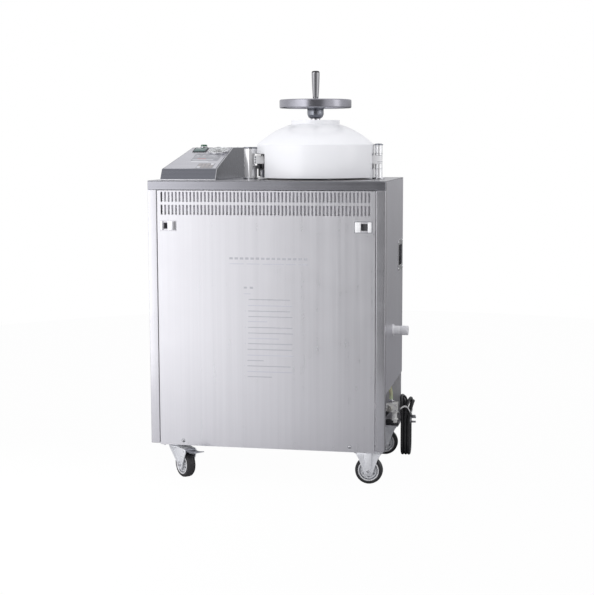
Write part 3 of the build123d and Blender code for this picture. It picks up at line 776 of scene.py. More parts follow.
def grip_rivets(bm):
    for s in (1, -1):
        for y in (86.0, 176.0):
            for z in (560.0, 636.0):
                dome_screw(bm, P(s * 326.4, y, z), (s, 0, 0), 3.4, 1.8, 0)


obj("grip_rivets", "bright", "cabinet", grip_rivets)


# ------------------------------------------------------------------ lid group
refine("locking_column", "column_lock", "column", 0.5, 2)
refine("pivot_post", "post_pivot", "column", 0.3, 2)
refine("lid_arm", "arm_lid", "white_metal", 1.2, 3)
refine("pressure_lid", "lid_plate", "bright", 0.6, 2)
refine("lid_cover", "cover_white", "white", 1.3, 3, flat=False)


def column_trim(bm):
    m4 = at(-84, 0)
    lathe(bm, fillet([(18.6, 902.6), (19.9, 902.6), (20.1, 903.4), (20.1, 906.1), (19.4, 906.8), (16.8, 906.8), (16.8, 905.8), (18.6, 905.6)], 0.3, 2), m4, 64, 0)
    lathe(bm, fillet([(18.6, 818.1), (21.0, 818.1), (21.0, 820.4), (20.0, 821.2), (18.6, 821.2)], 0.4, 2), m4, 64, 1)
    m4 = at(279, 0)
    lathe(bm, fillet([(10.8, 911.2), (12.6, 911.2), (12.6, 913.2), (9.2, 915.3), (0, 916.2), (0, 914.0), (8, 913.0)], 0.2, 2), m4, 48, 0, closed=False)
    for z in (888.0, 866.0, 846.0):
        lathe(bm, [(11.02, z - 0.45), (11.16, z - 0.35), (11.16, z + 0.35), (11.02, z + 0.45)], m4, 48, 0)
    lathe(bm, fillet([(15, 818.1), (17.5, 818.1), (17.5, 821.5), (16.3, 822.6), (11.1, 822.6), (11.1, 819)], 0.5, 2), m4, 48, 1)


obj("column_trim", ["hub_dark", "bright"], "cabinet", column_trim)


def arm_trim(bm):
    # set screws in the end of the tongue, and a collar round the spindle
    for z in (864.5, 871.5, 878.5):
        lathe(bm, [(0, 0.5), (1.7, 0.5), (2.1, 0.1), (2.1, -0.2), (0, -0.2)], frame_of(P(-66.0, -20, z), (0, -1, 0)), 20, 0, closed=False)
    lathe(bm, fillet([(14.3, 883.1), (22, 883.1), (22, 890), (20.6, 891.4), (14.3, 891.4)], 0.6, 3), at(102, 0), 48, 1)
    lathe(bm, [(7.6, 883.05), (10.9, 883.05), (10.9, 883.35), (7.6, 883.35)], at(279, 0), 48, 0)
    # painted shade: the wider dark block under the tongue, between the column and the lid, stands for the shade in that
    # gap; a narrow dark block stands below it
    box_bm(bm, -63.5, -54.8, -9.0, 9.0, 846.0, 860.4, 0.6, 2, 2)
    box_bm(bm, -61.5, -56.0, -2.5, 2.5, 825.0, 846.5, 0.4, 2, 2)


obj("arm_trim", ["hub_dark", "bright", "lid_dark"], "lid_arm", arm_trim)


def cover_edge(bm):
    # black rubber edging of the opening in the skirt
    m4 = at(102, 0)

    def strip(a0, a1, z0, z1, n):
        sec = ((162.2, 0.0), (163.9, 0.0), (163.9, 1.0), (162.2, 1.0))
        rows = []
        for k in range(n + 1):
            a = math.radians(180 + a0 + (a1 - a0) * k / n)
            z = z0 + (z1 - z0) * k / n
            rows.append([bm.verts.new(m4 @ Vector((r / 1000 * math.cos(a), r / 1000 * math.sin(a), z / 1000)))
                         for r, z_off in ((162.2, -0.9), (164.1, -0.9), (164.1, 0.9), (162.2, 0.9)) for z in (z0 + (z1 - z0) * k / n + z_off,)])
        for r0, r1 in zip(rows, rows[1:]):
            for i in range(4):
                j = (i + 1) % 4
                bm.faces.new((r0[i], r0[j], r1[j], r1[i])).material_index = 0
        bm.faces.new(rows[0]).material_index = 0
        bm.faces.new(rows[-1]).material_index = 0
    strip(-9.6, 41.2, 887.6, 887.6, 36)
    for a in (-9.7, 41.2):
        q = math.radians(180 + a)
        c = m4 @ Vector((0.1631 * math.cos(q), 0.1631 * math.sin(q), 0.8555))
        f4 = Matrix.Translation(c) @ rot_z(180 + a)
        box_bm(bm, -0.9, 1.0, -0.9, 0.9, -32.0, 32.9, 0.3, 1, 0, f4)


obj("cover_edging", ["edging"], "lid", cover_edge)


def lid_seal(bm):
    m4 = at(102, 0)
    lathe(bm, fillet([(117, 843.1), (122, 843.1), (122, 846.9), (117, 846.9)], 0.6, 2), m4, 96, 0)
    lathe(bm, fillet([(150.5, 843.1), (154.6, 843.1), (154.6, 846.4), (150.5, 846.4)], 0.5, 2), m4, 96, 0)
    for k in range(8):
        a = math.radians(22.5 + 45 * k)
        hex_bolt(bm, m4 @ Vector((0.137 * math.cos(a), 0.137 * math.sin(a), 0.8431)), (0, 0, 1), 9.0, 4.0, 1)


obj("lid_seal", ["lid_dark", "bright"], "lid", lid_seal)


def wheel_mesh(bm):
    m4 = at(102, 0)
    lathe(bm, fillet([(87.4, 1013.5), (97.8, 1013.5), (100, 1015.6), (100, 1034.9), (97.8, 1037), (87.4, 1037), (86, 1035.4), (86, 1015.1)],
                     [1.2, 1.6, 2.2, 2.2, 1.6, 1.2, 1, 1], 4), m4, 144, 0)
    lathe(bm, fillet([(13.2, 1012), (23.6, 1012), (26, 1014.6), (26, 1032), (22, 1036), (13.2, 1036)], [0, 1, 1, 1.5, 1.5, 0], 3), m4, 72, 1)
    lathe(bm, fillet([(0, 1030), (13.4, 1030), (13.4, 1036.4), (11, 1038.0), (0, 1038.0)], [0, 0, 0.6, 1.2, 0], 3), m4, 48, 2, closed=False)
    for k in range(3):
        box_bm(bm, 22, 88, -9, 9, 1019, 1031, 2.6, 3, 0, m4 @ rot_z(-79.3 + 120 * k))
    gx, gy = 102 + 88 * math.cos(math.radians(-79.3)), 88 * math.sin(math.radians(-79.3))
    lathe(bm, [(0, 1100), (3.6, 1100), (4.0, 1099.4), (4.0, 1037), (0, 1037)], at(gx, gy), 32, 2, closed=False)
    lathe(bm, fillet([(4.1, 1036.6), (9.4, 1036.6), (9.4, 1037.1), (4.1, 1037.1)], 0.1, 1), at(gx, gy), 40, 2)


wheel_ob = obj("wheel_hand", ["wheel", "hub_dark", "bright"], "handwheel", wheel_mesh)
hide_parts("handwheel")


def spindle_mesh(bm):
    m4 = at(102, 0)
    lathe(bm, fillet([(0, 844), (12.0, 844), (13.2, 845.4), (13.2, 984.6), (0, 984.6)], [0, 0.5, 0.8, 0, 0], 2), m4, 48, 1, closed=False)
    lathe(bm, fillet([(0, 984.4), (13.4, 984.4), (19.6, 988.6), (22.4, 995.0), (23, 999), (23, 1012), (0, 1012)],
                     [0, 0.5, 1.5, 2, 2, 0.4, 0], 4), m4, 72, 0, closed=False)
    # fine thread turns on the screw under the cover
    for k in range(22):
        z = 850 + k * 5.0
        lathe(bm, [(13.0, z - 1.0), (13.9, z), (13.0, z + 1.0)], m4, 40, 1)


sp_ob = obj("screw_hub", ["hub_dark", "bright"], "handwheel", spindle_mesh)
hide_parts("screw_spindle")


def grip_mesh(bm):
    gx, gy = 102 + 88 * math.cos(math.radians(-79.3)), 88 * math.sin(math.radians(-79.3))
    prof = [(4.4, 1037.6), (7.0, 1037.6), (7.7, 1038.6), (8.0, 1043), (8.6, 1051), (9.4, 1062), (10.1, 1076), (10.6, 1090), (10.9, 1099),
            (11.0, 1103.5), (10.8, 1106.4), (10.0, 1108.8), (8.4, 1110.4), (5.5, 1111), (0, 1111), (0, 1101), (4.4, 1101)]
    lathe(bm, prof, at(gx, gy), 64, 0)
    lathe(bm, [(10.82, 1106.4), (10.95, 1106.7), (10.1, 1109.1), (8.5, 1110.7), (5.5, 1111.2), (0, 1111.2)], at(gx, gy), 64, 1, closed=False)
    # painted reflection: dark strips down the front and the back of the grip stand for the dark reflection along the
    # polished grip
    for a_ in (-90.0, 90.0):
        m4 = at(gx, gy) @ rot_z(a_)
        rows = []
        for r_, z_ in ((7.78, 1040), (8.7, 1051), (9.5, 1062), (10.2, 1076), (10.7, 1090), (11.05, 1101), (11.05, 1105)):
            rows.append([bm.verts.new(m4 @ Vector((q_ / 1000, w_ / 1000, z_ / 1000))) for q_, w_ in ((r_ - 0.8, -2.3), (r_ + 0.05, -1.9), (r_ + 0.18, 0.0), (r_ + 0.05, 1.9), (r_ - 0.8, 2.3))])
        for r0, r1 in zip(rows, rows[1:]):
            for i_ in range(5):
                j_ = (i_ + 1) % 5
                bm.faces.new((r0[i_], r0[j_], r1[j_], r1[i_])).material_index = 2
        bm.faces.new(rows[0]).material_index = 2
        bm.faces.new(rows[-1]).material_index = 2


grip_ob = obj("grip_crank", ["grip_steel", "black", "shade"], "crank_grip", grip_mesh, weld=False)
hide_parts("crank_grip")

# ------------------------------------------------------------------ console fittings
SV = Vector((0, 188.0, 57.0))
SL = SV.length
VD = SV / SL
ND = Vector((0, -VD.z, VD.y))
FACE = at(0, -140, 848) @ Matrix((Vector((1, 0, 0)), VD, ND)).transposed().to_4x4()


def on_face(bm, u0, u1, v0, v1, h0, h1, mi=0, bevel=0.3, r=2.0):
    pts = fillet([(u0, v0), (u1, v0), (u1, v1), (u0, v1)], r, 4) if r else [(u0, v0), (u1, v0), (u1, v1), (u0, v1)]
    plate_bm(bm, pts, FACE, h0, h1, bevel, 2, mi)


def display(bm):
    v0, v1 = SL - 44, SL - 5
    on_face(bm, -256, -216, v0, v1, 0.0, 1.5, 1, 0.4, 2.5)
    on_face(bm, -253, -219, v0 + 3.5, v1 - 3.5, 1.4, 2.0, 0, 0.2, 1.5)


o = obj("display_pane", ["display", "edging"], "cabinet", display)
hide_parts("display_window")


def face_plate(bm):
    # bright plate over the sloped face, following its lean at the left
    pts = fillet([(-298.2, 4.0), (-151.0, 4.0), (-151.0, SL - 3.0), (-264.5, SL - 3.0)], 2.5, 3)
    plate_bm(bm, pts, FACE, -0.3, 0.3, 0.2, 2, 0)


obj("face_plate", "face", "cabinet", face_plate)


def face_print(bm):
    on_face(bm, -240, -162, 72, 136, 0.25, 0.55, 0, 0.1, 3.0)            # grey band
    on_face(bm, -236, -186, 62, 68, 0.25, 0.50, 1, 0.1, 1.0)             # pale strip
    on_face(bm, -224, -200, 88, 92, 0.5, 0.70, 2, 0.0, 0.0)              # thin reddish line
    on_face(bm, -236, -176, 78, 82, 0.5, 0.65, 1, 0.0, 0.0)
    for k in range(4):
        on_face(bm, -234 + k * 18, -225 + k * 18, 118, 120, 0.5, 0.65, 1, 0.0, 0.0)
        on_face(bm, -234 + k * 18, -223 + k * 18, 106, 107.5, 0.5, 0.65, 1, 0.0, 0.0)


obj("face_film", ["band", "film_pale", "film_red"], "cabinet", face_print)


def keys(bm):
    on_face(bm, -209, -161, 6, 50, 0.0, 0.7, 1, 0.2, 2.0)
    for i in range(4):
        for j in range(3):
            u, v = -206 + i * 11.2, 9 + j * 13.2
            on_face(bm, u, u + 9.2, v, v + 10.8, 0.6, 1.2, 2 if (i, j) in ((3, 2), (0, 0)) else 0, 0.3, 1.6)


o = obj("key_panel", ["key", "band", "film_pale"], "cabinet", keys)
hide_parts("key_pad")

GC = FACE @ Matrix.Translation(Vector((-0.179, (SL - 42) / 1000, 0)))


def gauge_body(bm):
    lathe(bm, fillet([(0, 0), (28.2, 0), (29, 0.8), (29, 6.2), (28.2, 7.0), (26.4, 7.0), (25.8, 5.4), (25.6, 3.2), (0, 3.2)],
                     [0, 0.3, 0.4, 0.5, 0.6, 0.5, 0.4, 0, 0], 3), GC, 96, 0, closed=False)
    lathe(bm, [(0, 3.3), (25.4, 3.3), (25.4, 3.6), (0, 3.6)], GC, 72, 1, closed=False)
    # painted reflection: a dark disc in the middle of the dial stands for the dark reflection in the glass
    lathe(bm, [(0, 3.65), (10.5, 3.65), (10.5, 3.72), (0, 3.72)], GC, 48, 2, closed=False)


o = obj("gauge_shell", ["chrome", "dial", "shade"], "cabinet", gauge_body, weld=False)
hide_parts("gauge_case")


def gauge_marks(bm):
    for k in range(31):
        a = math.radians(225 - 270 * k / 30)
        m4 = GC @ Matrix.Rotation(a, 4, "Z")
        r0, r1, w = (18.0, 22.6, 0.55) if k % 5 == 0 else (20.0, 22.6, 0.30)
        box_bm(bm, r0, r1, -w, w, 3.55, 3.75, 0.0, 1, 0, m4)
    m4 = GC @ Matrix.Rotation(math.radians(225), 4, "Z")
    pts = [(-6.5, -1.1), (0, -1.3), (19.0, -0.25), (19.0, 0.25), (0, 1.3), (-6.5, 1.1)]
    plate_bm(bm, pts, m4, 4.3, 4.7, 0.0, 1, 0)
    lathe(bm, [(0, 5.3), (2.4, 5.3), (2.7, 4.9), (2.7, 3.6), (0, 3.6)], GC, 24, 0, closed=False)
    plate_bm(bm, [(-12, -14.5), (12, -14.5), (12, -12.0), (-12, -12.0)], GC, 3.55, 3.7, 0.0, 1, 0)


obj("gauge_marks", "ink", "cabinet", gauge_marks)


def gauge_numbers():
    made = []
    for i in range(7):
        cu = bpy.data.curves.new("dial_number_%d" % i, "FONT")
        cu.body = str(i)
        cu.size = 0.0062
        cu.align_x = "CENTER"
        cu.align_y = "CENTER"
        t = bpy.data.objects.new("dial_number_tmp", cu)
        COL.objects.link(t)
        bpy.context.view_layer.update()
        me = bpy.data.meshes.new_from_object(t)
        a = math.radians(225 - 270 * i / 6)
        m4 = GC @ Matrix.Translation(Vector((0.0142 * math.cos(a), 0.0142 * math.sin(a), 0.00378)))
        me.transform(m4)
        bpy.data.objects.remove(t)
        bpy.data.curves.remove(cu)
        made.append(me)
    bm = bmesh.new()
    for me in made:
        bm.from_mesh(me)
        bpy.data.meshes.remove(me)
    for f in bm.faces:
        f.material_index = 0
    finish_mesh(bm, "gauge_numbers", "ink", "cabinet", 35.0)


gauge_numbers()


def gauge_glass(bm):
    lathe(bm, [(0, 6.0), (25.2, 6.0), (25.2, 6.6), (18, 6.9), (0, 7.0)], GC, 72, 0)


obj("gauge_glass", "glass", "cabinet", gauge_glass, weld=False)


def lamp_mesh(bm):
    m4 = at(-236, 62)
    lathe(bm, fillet([(0, 905), (11, 905), (11, 907.2), (10.2, 908), (9.4, 908), (0, 908)], [0, 0.2, 0.5, 0.4, 0, 0], 2), m4, 56, 1, closed=False)
    lathe(bm, [(9.3, 907.6), (9.4, 911.2), (8.8, 912.8), (7.2, 913.7), (4.0, 914), (0, 914)], m4, 56, 0, closed=False)


o = obj("lamp_signal", ["lamp", "chrome"], "cabinet", lamp_mesh, weld=False)
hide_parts("signal_lamp")


def console_trim(bm):
    for y in (80.0, 160.0):
        for x in (-262.0, -160.0):
            dome_screw(bm, P(x, y, 905), (0, 0, 1), 3.2, 1.6, 0)
    # bright turned-up edge along the foot of the console
    box_bm(bm, -303.0, -146.0, -159.2, -158.2, 818.1, 820.4, 0.3, 1, 0)
    # painted highlight: bright strips along the right edge of the face and of the lip stand for the highlight on the
    # bent edge
    box_bm(bm, -147.3, -145.9, 1.0, 195.6, -0.5, 0.5, 0.2, 1, 0, FACE)
    v = Vector((0, 18.0, 30.0)).normalized()
    lip = at(0, -158, 818) @ Matrix((Vector((1, 0, 0)), v, Vector((1, 0, 0)).cross(v))).transposed().to_4x4()
    box_bm(bm, -147.3, -145.9, 0.6, 34.2, -0.5, 0.5, 0.2, 1, 0, lip)


obj("console_trim", "bright", "cabinet", console_trim)


# ------------------------------------------------------------------ right side fitting
def fitting(bm):
    m4 = at(0, -25, 400) @ SIDE4
    lathe(bm, fillet([(0, 325), (16, 325), (16, 328), (0, 328)], [0, 0, 0.6, 0], 2), m4, 56, 0, closed=False)
    lathe(bm, fillet([(7, 350), (13.2, 347), (13.2, 367.2), (12.2, 368), (7.6, 368), (7, 367.4)], [0, 0.8, 0.5, 0.4, 0.3, 0.2], 2), m4, 56, 0)
    lathe(bm, fillet([(0, 327), (12, 327), (12, 348.5), (7, 350), (0, 350)], [0, 0, 0.4, 0, 0], 2), m4, 56, 0, closed=False)
    for x in (331.0, 336.0, 341.0):
        lathe(bm, fillet([(11.6, x - 1.0), (12.7, x - 0.8), (12.7, x + 0.8), (11.6, x + 1.0)], 0.2, 2), m4, 48, 0)


o = obj("fitting_vent", ["white_matte"], "cabinet", fitting, weld=False)
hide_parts("side_fitting")

# ------------------------------------------------------------------ bay plumbing
refine("drain_valve", "valve_drain", "valve", 1.4, 3)


def valve_trim(bm):
    for z0, z1 in ((134, 138.5), (112, 117)):
        plate_bm(bm, [(11.5 * math.cos(math.pi / 3 * k), 11.5 * math.sin(math.pi / 3 * k)) for k in range(6)], at(312, 130), z0, z1, 0.8, 2, 0)
    plate_bm(bm, [(9.5 * math.cos(math.pi / 3 * k), 9.5 * math.sin(math.pi / 3 * k)) for k in range(6)], at(302, 130), 163, 171, 0.8, 2, 1)
    plate_bm(bm, [(13 * math.cos(math.pi / 3 * k), 13 * math.sin(math.pi / 3 * k)) for k in range(6)], at(0, 130, 150) @ SIDE4, 282, 290.5, 0.9, 2, 1)
    plate_bm(bm, [(12 * math.cos(math.pi / 3 * k), 12 * math.sin(math.pi / 3 * k)) for k in range(6)], at(0, 130, 150) @ SIDE4, 262, 268, 0.9, 2, 0)
    for k in range(5):
        z = 106.5 + k * 1.1
        lathe(bm, [(7.9, z - 0.35), (8.5, z), (7.9, z + 0.35)], at(312, 130), 36, 0)
    for dx, dz in ((-11, -7), (11, -7), (-11, 8), (11, 8)):
        dome_screw(bm, P(306 + dx, 110, 151 + dz), (0, -1, 0), 2.4, 1.4, 1)


obj("valve_trim", ["valve", "bright"], "cabinet", valve_trim)


def drain_elbow(bm):
    # black rubber elbow under the valve, lying on the base tray
    lathe(bm, fillet([(0, 97.6), (10.8, 97.6), (11.6, 99.0), (11.6, 104.6), (8.6, 105.4), (0, 105.4)], [0, 0.6, 0.8, 0.8, 0.3, 0], 3), at(312, 130), 48, 0, closed=False)
    lathe(bm, fillet([(0, 283), (7.4, 283), (8.2, 284.5), (8.2, 309), (0, 309)], [0, 0.6, 0.6, 0, 0], 2), at(0, 128, 106) @ SIDE4, 40, 0, closed=False)
    lathe(bm, fillet([(0, 262), (5.8, 262), (5.8, 284), (0, 284)], [0, 0.8, 0, 0], 2), at(0, 128, 106) @ SIDE4, 40, 0, closed=False)


obj("drain_elbow", "lever", "cabinet", drain_elbow)


def lever_mesh(bm):
    m4 = at(300, 0, 150) @ FRONT4
    lathe(bm, fillet([(0, -103.6), (9, -103.6), (9, -97.2), (8, -96.2), (0, -96.2)], [0, 0.3, 0.8, 0.6, 0], 2), m4, 40, 1, closed=False)
    a = math.radians(28)
    arm4 = at(300, 0, 150) @ Matrix.Rotation(a, 4, "Y")
    pts = fillet([(-4.5, 2.0), (-4.5, -14.0), (-3.6, -20.0), (-4.8, -44.0), (-2.4, -46.0), (2.4, -46.0), (4.8, -44.0), (3.6, -20.0), (4.5, -14.0), (4.5, 2.0)], 1.6, 3)
    plate_bm(bm, pts, arm4 @ FRONT4, -102, -97, 1.1, 2, 0)
    hex_bolt(bm, P(300, 96.4, 150), (0, -1, 0), 8.0, 2.2, 1)


o = obj("lever_drain", ["lever", "brass"], "drain_lever", lever_mesh)
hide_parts("drain_lever")

hose_pts = [(302, 130, 160), (302, 130, 176), (302, 129.5, 190), (300.5, 127, 202), (299.5, 123.5, 214), (299, 122, 226), (299, 122, 246)]
o = curve_obj("hose_water", [P(*q) for q in hose_pts], 0.005, "hose", "cabinet", res=12)
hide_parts("water_hose")


def hose_clips(bm):
    for z in (170.5,):
        lathe(bm, fillet([(5.0, z - 2.6), (6.3, z - 2.6), (6.3, z + 2.6), (5.0, z + 2.6)], 0.4, 2), at(302, 130), 36, 0)
    lathe(bm, fillet([(5.0, 238), (8.5, 238), (8.5, 245.8), (5.0, 245.8)], 0.5, 2), at(299, 122), 36, 1)


obj("hose_clips", ["bright", "white_matte"], "cabinet", hose_clips)


# ------------------------------------------------------------------ casters
def wheel_pair(side, x, y, ang, body):
    w4 = at(x, y, 37.5) @ rot_z(ang) @ FRONT4

    def hub(bm):
        lathe(bm, fillet([(5.3, 12), (9.5, 12), (10.5, 11), (11, 9.4), (21.4, 9.0), (22.6, 10.8), (22.6, -10.8), (21.4, -9.0), (11, -9.4),
                          (10.5, -11), (9.5, -12), (5.3, -12)], 0.4, 2), w4, 72, 0)
        # painted shade: a dark ring fills the groove between the hub and the rim
        lathe(bm, [(22.4, 10.2), (25.3, 10.2), (25.3, -10.2), (22.4, -10.2)], w4, 72, 2)
        lathe(bm, fillet([(25.0, 12.0), (25.8, 12.9), (28.0, 12.9), (28.6, 12.2), (28.6, -12.2), (28.0, -12.9), (25.8, -12.9), (25.0, -12.0)], 0.4, 2), w4, 84, 1)
        for s in (1, -1):
            for k in range(6):
                a = math.radians(30 + 60 * k)
                c4 = w4 @ Matrix.Translation(Vector((0.0163 * math.cos(a), 0.0163 * math.sin(a), s * 0.0091)))
                lathe(bm, [(0, 0.15 * s), (2.6, 0.15 * s), (3.0, 0.0), (0, -0.2 * s)], c4, 20, 2)
                b4 = w4 @ Matrix.Rotation(a + math.radians(30), 4, "Z")
                z0, z1 = sorted((8.6 * s, 10.2 * s))
                box_bm(bm, 10.5, 21.6, -1.1, 1.1, z0, z1, 0.4, 1, 0, b4)

    def tyre(bm):
        half = [(28.4, 12.0), (31.0, 12.5), (34.6, 12.0), (36.7, 9.4), (37.5, 5.2)]
        prof = half + [(37.5, 1.0), (37.2, 0.6), (37.2, -0.6), (37.5, -1.0)] + [(r, -h) for r, h in reversed(half)]
        lathe(bm, prof, w4, 108, 0)
    h = obj("%s_wheel_core" % side, ["hub", "ring", "zinc_dark"], body, hub)
    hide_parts("%s_wheel_hub" % side)
    t = obj("%s_wheel_tread" % side, ["tyre"], body, tyre)
    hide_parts("%s_tyre" % side)


def forks(bm):
    for y in (-172.0, 172.0):
        m4 = at(280, y) @ FRONT4
        box_bm(bm, 240, 320, y - 25, y + 25, 90, 93, 0.8, 2, 0)
        cheek = fillet([(-38, 90), (38, 90), (26, 71), (12.5, 33), (8, 24), (-8, 24), (-12.5, 33), (-26, 71)], [0.5, 0.5, 26, 12, 7, 7, 12, 26], 5)
        rib = fillet([(-11, 90), (11, 90), (6.5, 34), (5, 29), (-5, 29), (-6.5, 34)], [0.3, 0.3, 6, 3, 3, 6], 3)
        for a, b, c in ((16.0, 18.5, 21.5), (-18.5, -16.0, -21.5)):
            plate_bm(bm, cheek, m4, a, b, 0.9, 2, 0)
            z0, z1 = (18.3, 21.5) if c > 0 else (-21.5, -18.3)
            plate_bm(bm, rib, m4, z0, z1, 1.5, 3, 0)
        ax4 = at(280, y, 37.5) @ FRONT4
        lathe(bm, [(0, 20), (5, 20), (5, -20), (0, -20)], ax4, 32, 1, closed=False)
        for s in (1, -1):
            hex_bolt(bm, P(280, y - s * 20.9, 37.5), (0, -s, 0), 8.5, 1.9, 1)
        for dx in (-34.5, 34.5):
            for dy in (-19.0, 19.0):
                hex_bolt(bm, P(280 + dx, y + dy, 90.1), (0, 0, -1), 7.0, 3.2, 1)
        # folded gussets between plate and cheeks
        for s in (1, -1):
            box_bm(bm, 252, 308, y + s * 16.6 - 2.0, y + s * 16.6 + 2.0, 86.5, 90.4, 1.4, 3, 0)


o = obj("caster_forks", ["zinc", "bright"], "cabinet", forks)
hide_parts("fixed_caster_forks")


def swivel_plates(bm):
    for y in (-168.0, 168.0):
        box_bm(bm, -295, -215, y - 30, y + 30, 90, 93, 0.8, 2, 0)
        lathe(bm, [(0, 90.2), (9, 90.2), (9, 79), (0, 79)], at(-255, y), 40, 1, closed=False)
        lathe(bm, fillet([(9.2, 90.2), (26.5, 90.2), (25.5, 87.0), (9.2, 87.0)], [0, 0, 1.2, 0], 3), at(-255, y), 64, 0)
        plate_bm(bm, [(12 * math.cos(math.pi / 3 * k), 12 * math.sin(math.pi / 3 * k)) for k in range(6)], at(-255, y), 76.0, 79.4, 0.8, 2, 1)
        for dx in (-34.0, 34.0):
            for dy in (-24.0, 24.0):
                hex_bolt(bm, P(-255 + dx, y + dy, 90.1), (0, 0, -1), 7.0, 3.2, 1)


o = obj("caster_plates", ["zinc", "bright"], "cabinet", swivel_plates)
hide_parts("swivel_caster_plates")

for side, sy, ang in (("front", -168.0, -44.6), ("rear", 168.0, 139.0)):
    cb = "left_%s_caster" % side

    def fork(bm, sy=sy, ang=ang):
        b4 = at(-255, sy) @ rot_z(ang)
        lathe(bm, fillet([(9.4, 80), (25.0, 80), (27, 82), (27, 84.2), (25.6, 85.6), (23, 86.2), (9.4, 86.2)], [0, 1, 0.8, 0.6, 0.8, 0.6, 0], 3), b4, 72, 0)
        leg = fillet([(-24, 85), (-24, 77), (20, 38), (24, 27), (35, 22.6), (46, 27), (49, 38), (66, 73), (66, 82), (20, 85)],
                     [2, 8, 14, 7, 10, 8, 8, 5, 4, 10], 6)
        for a, b in ((16.0, 18.5), (-18.5, -16.0)):
            plate_bm(bm, leg, b4 @ FRONT4, a, b, 0.9, 2, 0)
        # pressed rib along each cheek
        rib = fillet([(-14, 80.5), (-8, 82), (34, 46), (31, 42)], 2.0, 3)
        for z0, z1 in ((18.3, 19.7), (-19.7, -18.3)):
            plate_bm(bm, rib, b4 @ FRONT4, z0, z1, 0.6, 2, 0)
        ax4 = b4 @ Matrix.Translation(Vector((0.035, 0, 0.0375))) @ FRONT4
        lathe(bm, [(0, 19), (5, 19), (5, -19), (0, -19)], ax4, 32, 1, closed=False)
        for s in (1, -1):
            hx = b4 @ Vector((0.035, -s * 0.0184, 0.0375))
            dr = (b4.to_3x3() @ Vector((0, -s, 0)))
            hex_bolt(bm, hx, dr, 11.5, 3.9, 1)
            hx = b4 @ Vector((0.058, -s * 0.0184, 0.078))
            dome_screw(bm, hx, dr, 3.6, 1.4, 1)
        lathe(bm, [(0, 18.5), (3, 18.5), (3, -18.5), (0, -18.5)], b4 @ Matrix.Translation(Vector((0.058, 0, 0.078))) @ FRONT4, 24, 1, closed=False)

    def pedal(bm, sy=sy, ang=ang):
        b4 = at(-255, sy) @ rot_z(ang)
        p4 = b4 @ Matrix.Translation(Vector((0.058, 0, 0.078))) @ FRONT4
        lathe(bm, [(3.3, 15.4), (5.5, 15.4), (5.5, -15.4), (3.3, -15.4)], p4, 32, 0)
        strip = fillet([(60, 75.6), (60, 80.2), (83, 79.5), (100, 81.5), (115.6, 85), (116.6, 82.6), (101, 78.6), (84, 75.9)], 0.5, 2)
        plate_bm(bm, strip, b4 @ FRONT4, -13, 13, 0.7, 2, 0)
        plate_bm(bm, fillet([(47, 79.5), (55, 80.8), (55, 77.2), (48, 76.6)], 0.4, 2), b4 @ FRONT4, -8, 8, 0.5, 2, 0)
        for x, z in ((100.5, 81.4), (105.0, 82.4), (109.5, 83.4)):
            box_bm(bm, x - 0.8, x + 0.8, -10.5, 10.5, z - 0.3, z + 0.8, 0.4, 2, 0, b4)

    o = obj("left_%s_fork" % side, ["zinc", "bright"], cb, fork)
    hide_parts("left_%s_swivel_fork" % side)
    o = obj("left_%s_pedal" % side, ["zinc_dark"], "left_%s_brake" % side, pedal)
    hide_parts("left_%s_brake_pedal" % side)
    a_ = math.radians(ang)
    wheel_pair("left_%s" % side, -255 + 35 * math.cos(a_), sy + 35 * math.sin(a_), ang, "left_%s_wheel" % side)
    wheel_pair("right_%s" % side, 280, -172 if side == "front" else 172, 0, "right_%s_wheel" % side)

# ------------------------------------------------------------------ floor, world and lights
bm = bmesh.new()
N = 96
ring = [bm.verts.new((2.6 * math.cos(2 * math.pi * k / N), 2.6 * math.sin(2 * math.pi * k / N) + 0.9, 0.0)) for k in range(N)]
bm.faces.new(ring)
me = bpy.data.meshes.new("floor")
bm.to_mesh(me)
bm.free()
floor = bpy.data.objects.new("floor", me)
COL.objects.link(floor)
fm = Nodes("floor_pale_with_painted_shade", (0.93, 0.93, 0.935), 0.0, 0.75)
fn_ = fm.noise(fm.mapping((1, 1, 1)), 2.0, 3.0)
# painted shade: the floor colour is pale in front of the object and darker behind it and to its right, standing for the
# floor in shade as the metal reflects it; the camera itself sees the floor white
fsep = fm.node("ShaderNodeSeparateXYZ")
fm.link(fm.coord, fsep.inputs[0])
floor_rear_shade_mask = fm.node("ShaderNodeMapRange")
floor_rear_shade_mask.interpolation_type = "SMOOTHSTEP"
floor_rear_shade_mask.inputs["From Min"].default_value = -0.50
floor_rear_shade_mask.inputs["From Max"].default_value = 0.30
fm.link(fsep.outputs[1], floor_rear_shade_mask.inputs["Value"])
floor_painted_shade_rear = fm.ramp(fn_, [(0.3, (0.19, 0.19, 0.20)), (0.7, (0.21, 0.21, 0.22))])
floor_right_shade_mask = fm.node("ShaderNodeMapRange")
floor_right_shade_mask.interpolation_type = "SMOOTHSTEP"
floor_right_shade_mask.inputs["From Min"].default_value = -0.55
floor_right_shade_mask.inputs["From Max"].default_value = 0.45
fm.link(fsep.outputs[0], floor_right_shade_mask.inputs["Value"])
floor_front_painted_shade_right = fm.mix(floor_right_shade_mask.outputs[0], (0.93, 0.93, 0.94), (0.34, 0.34, 0.35))
fm.to(fm.mix(floor_rear_shade_mask.outputs[0], floor_front_painted_shade_right, floor_painted_shade_rear), "Base Color")
flp = fm.node("ShaderNodeLightPath")
fem = fm.node("ShaderNodeEmission")
fem.inputs["Color"].default_value = (1.0, 1.0, 1.0, 1.0)
fem.inputs["Strength"].default_value = 1.01
fmx = fm.node("ShaderNodeMixShader")
fm.link(fm.math("MULTIPLY", flp.outputs["Is Camera Ray"], 0.97), fmx.inputs[0])
fm.link(fm.b.outputs[0], fmx.inputs[1])
fm.link(fem.outputs[0], fmx.inputs[2])
fm.link(fmx.outputs[0], fm.out.inputs[0])
me.materials.append(fm.mat)

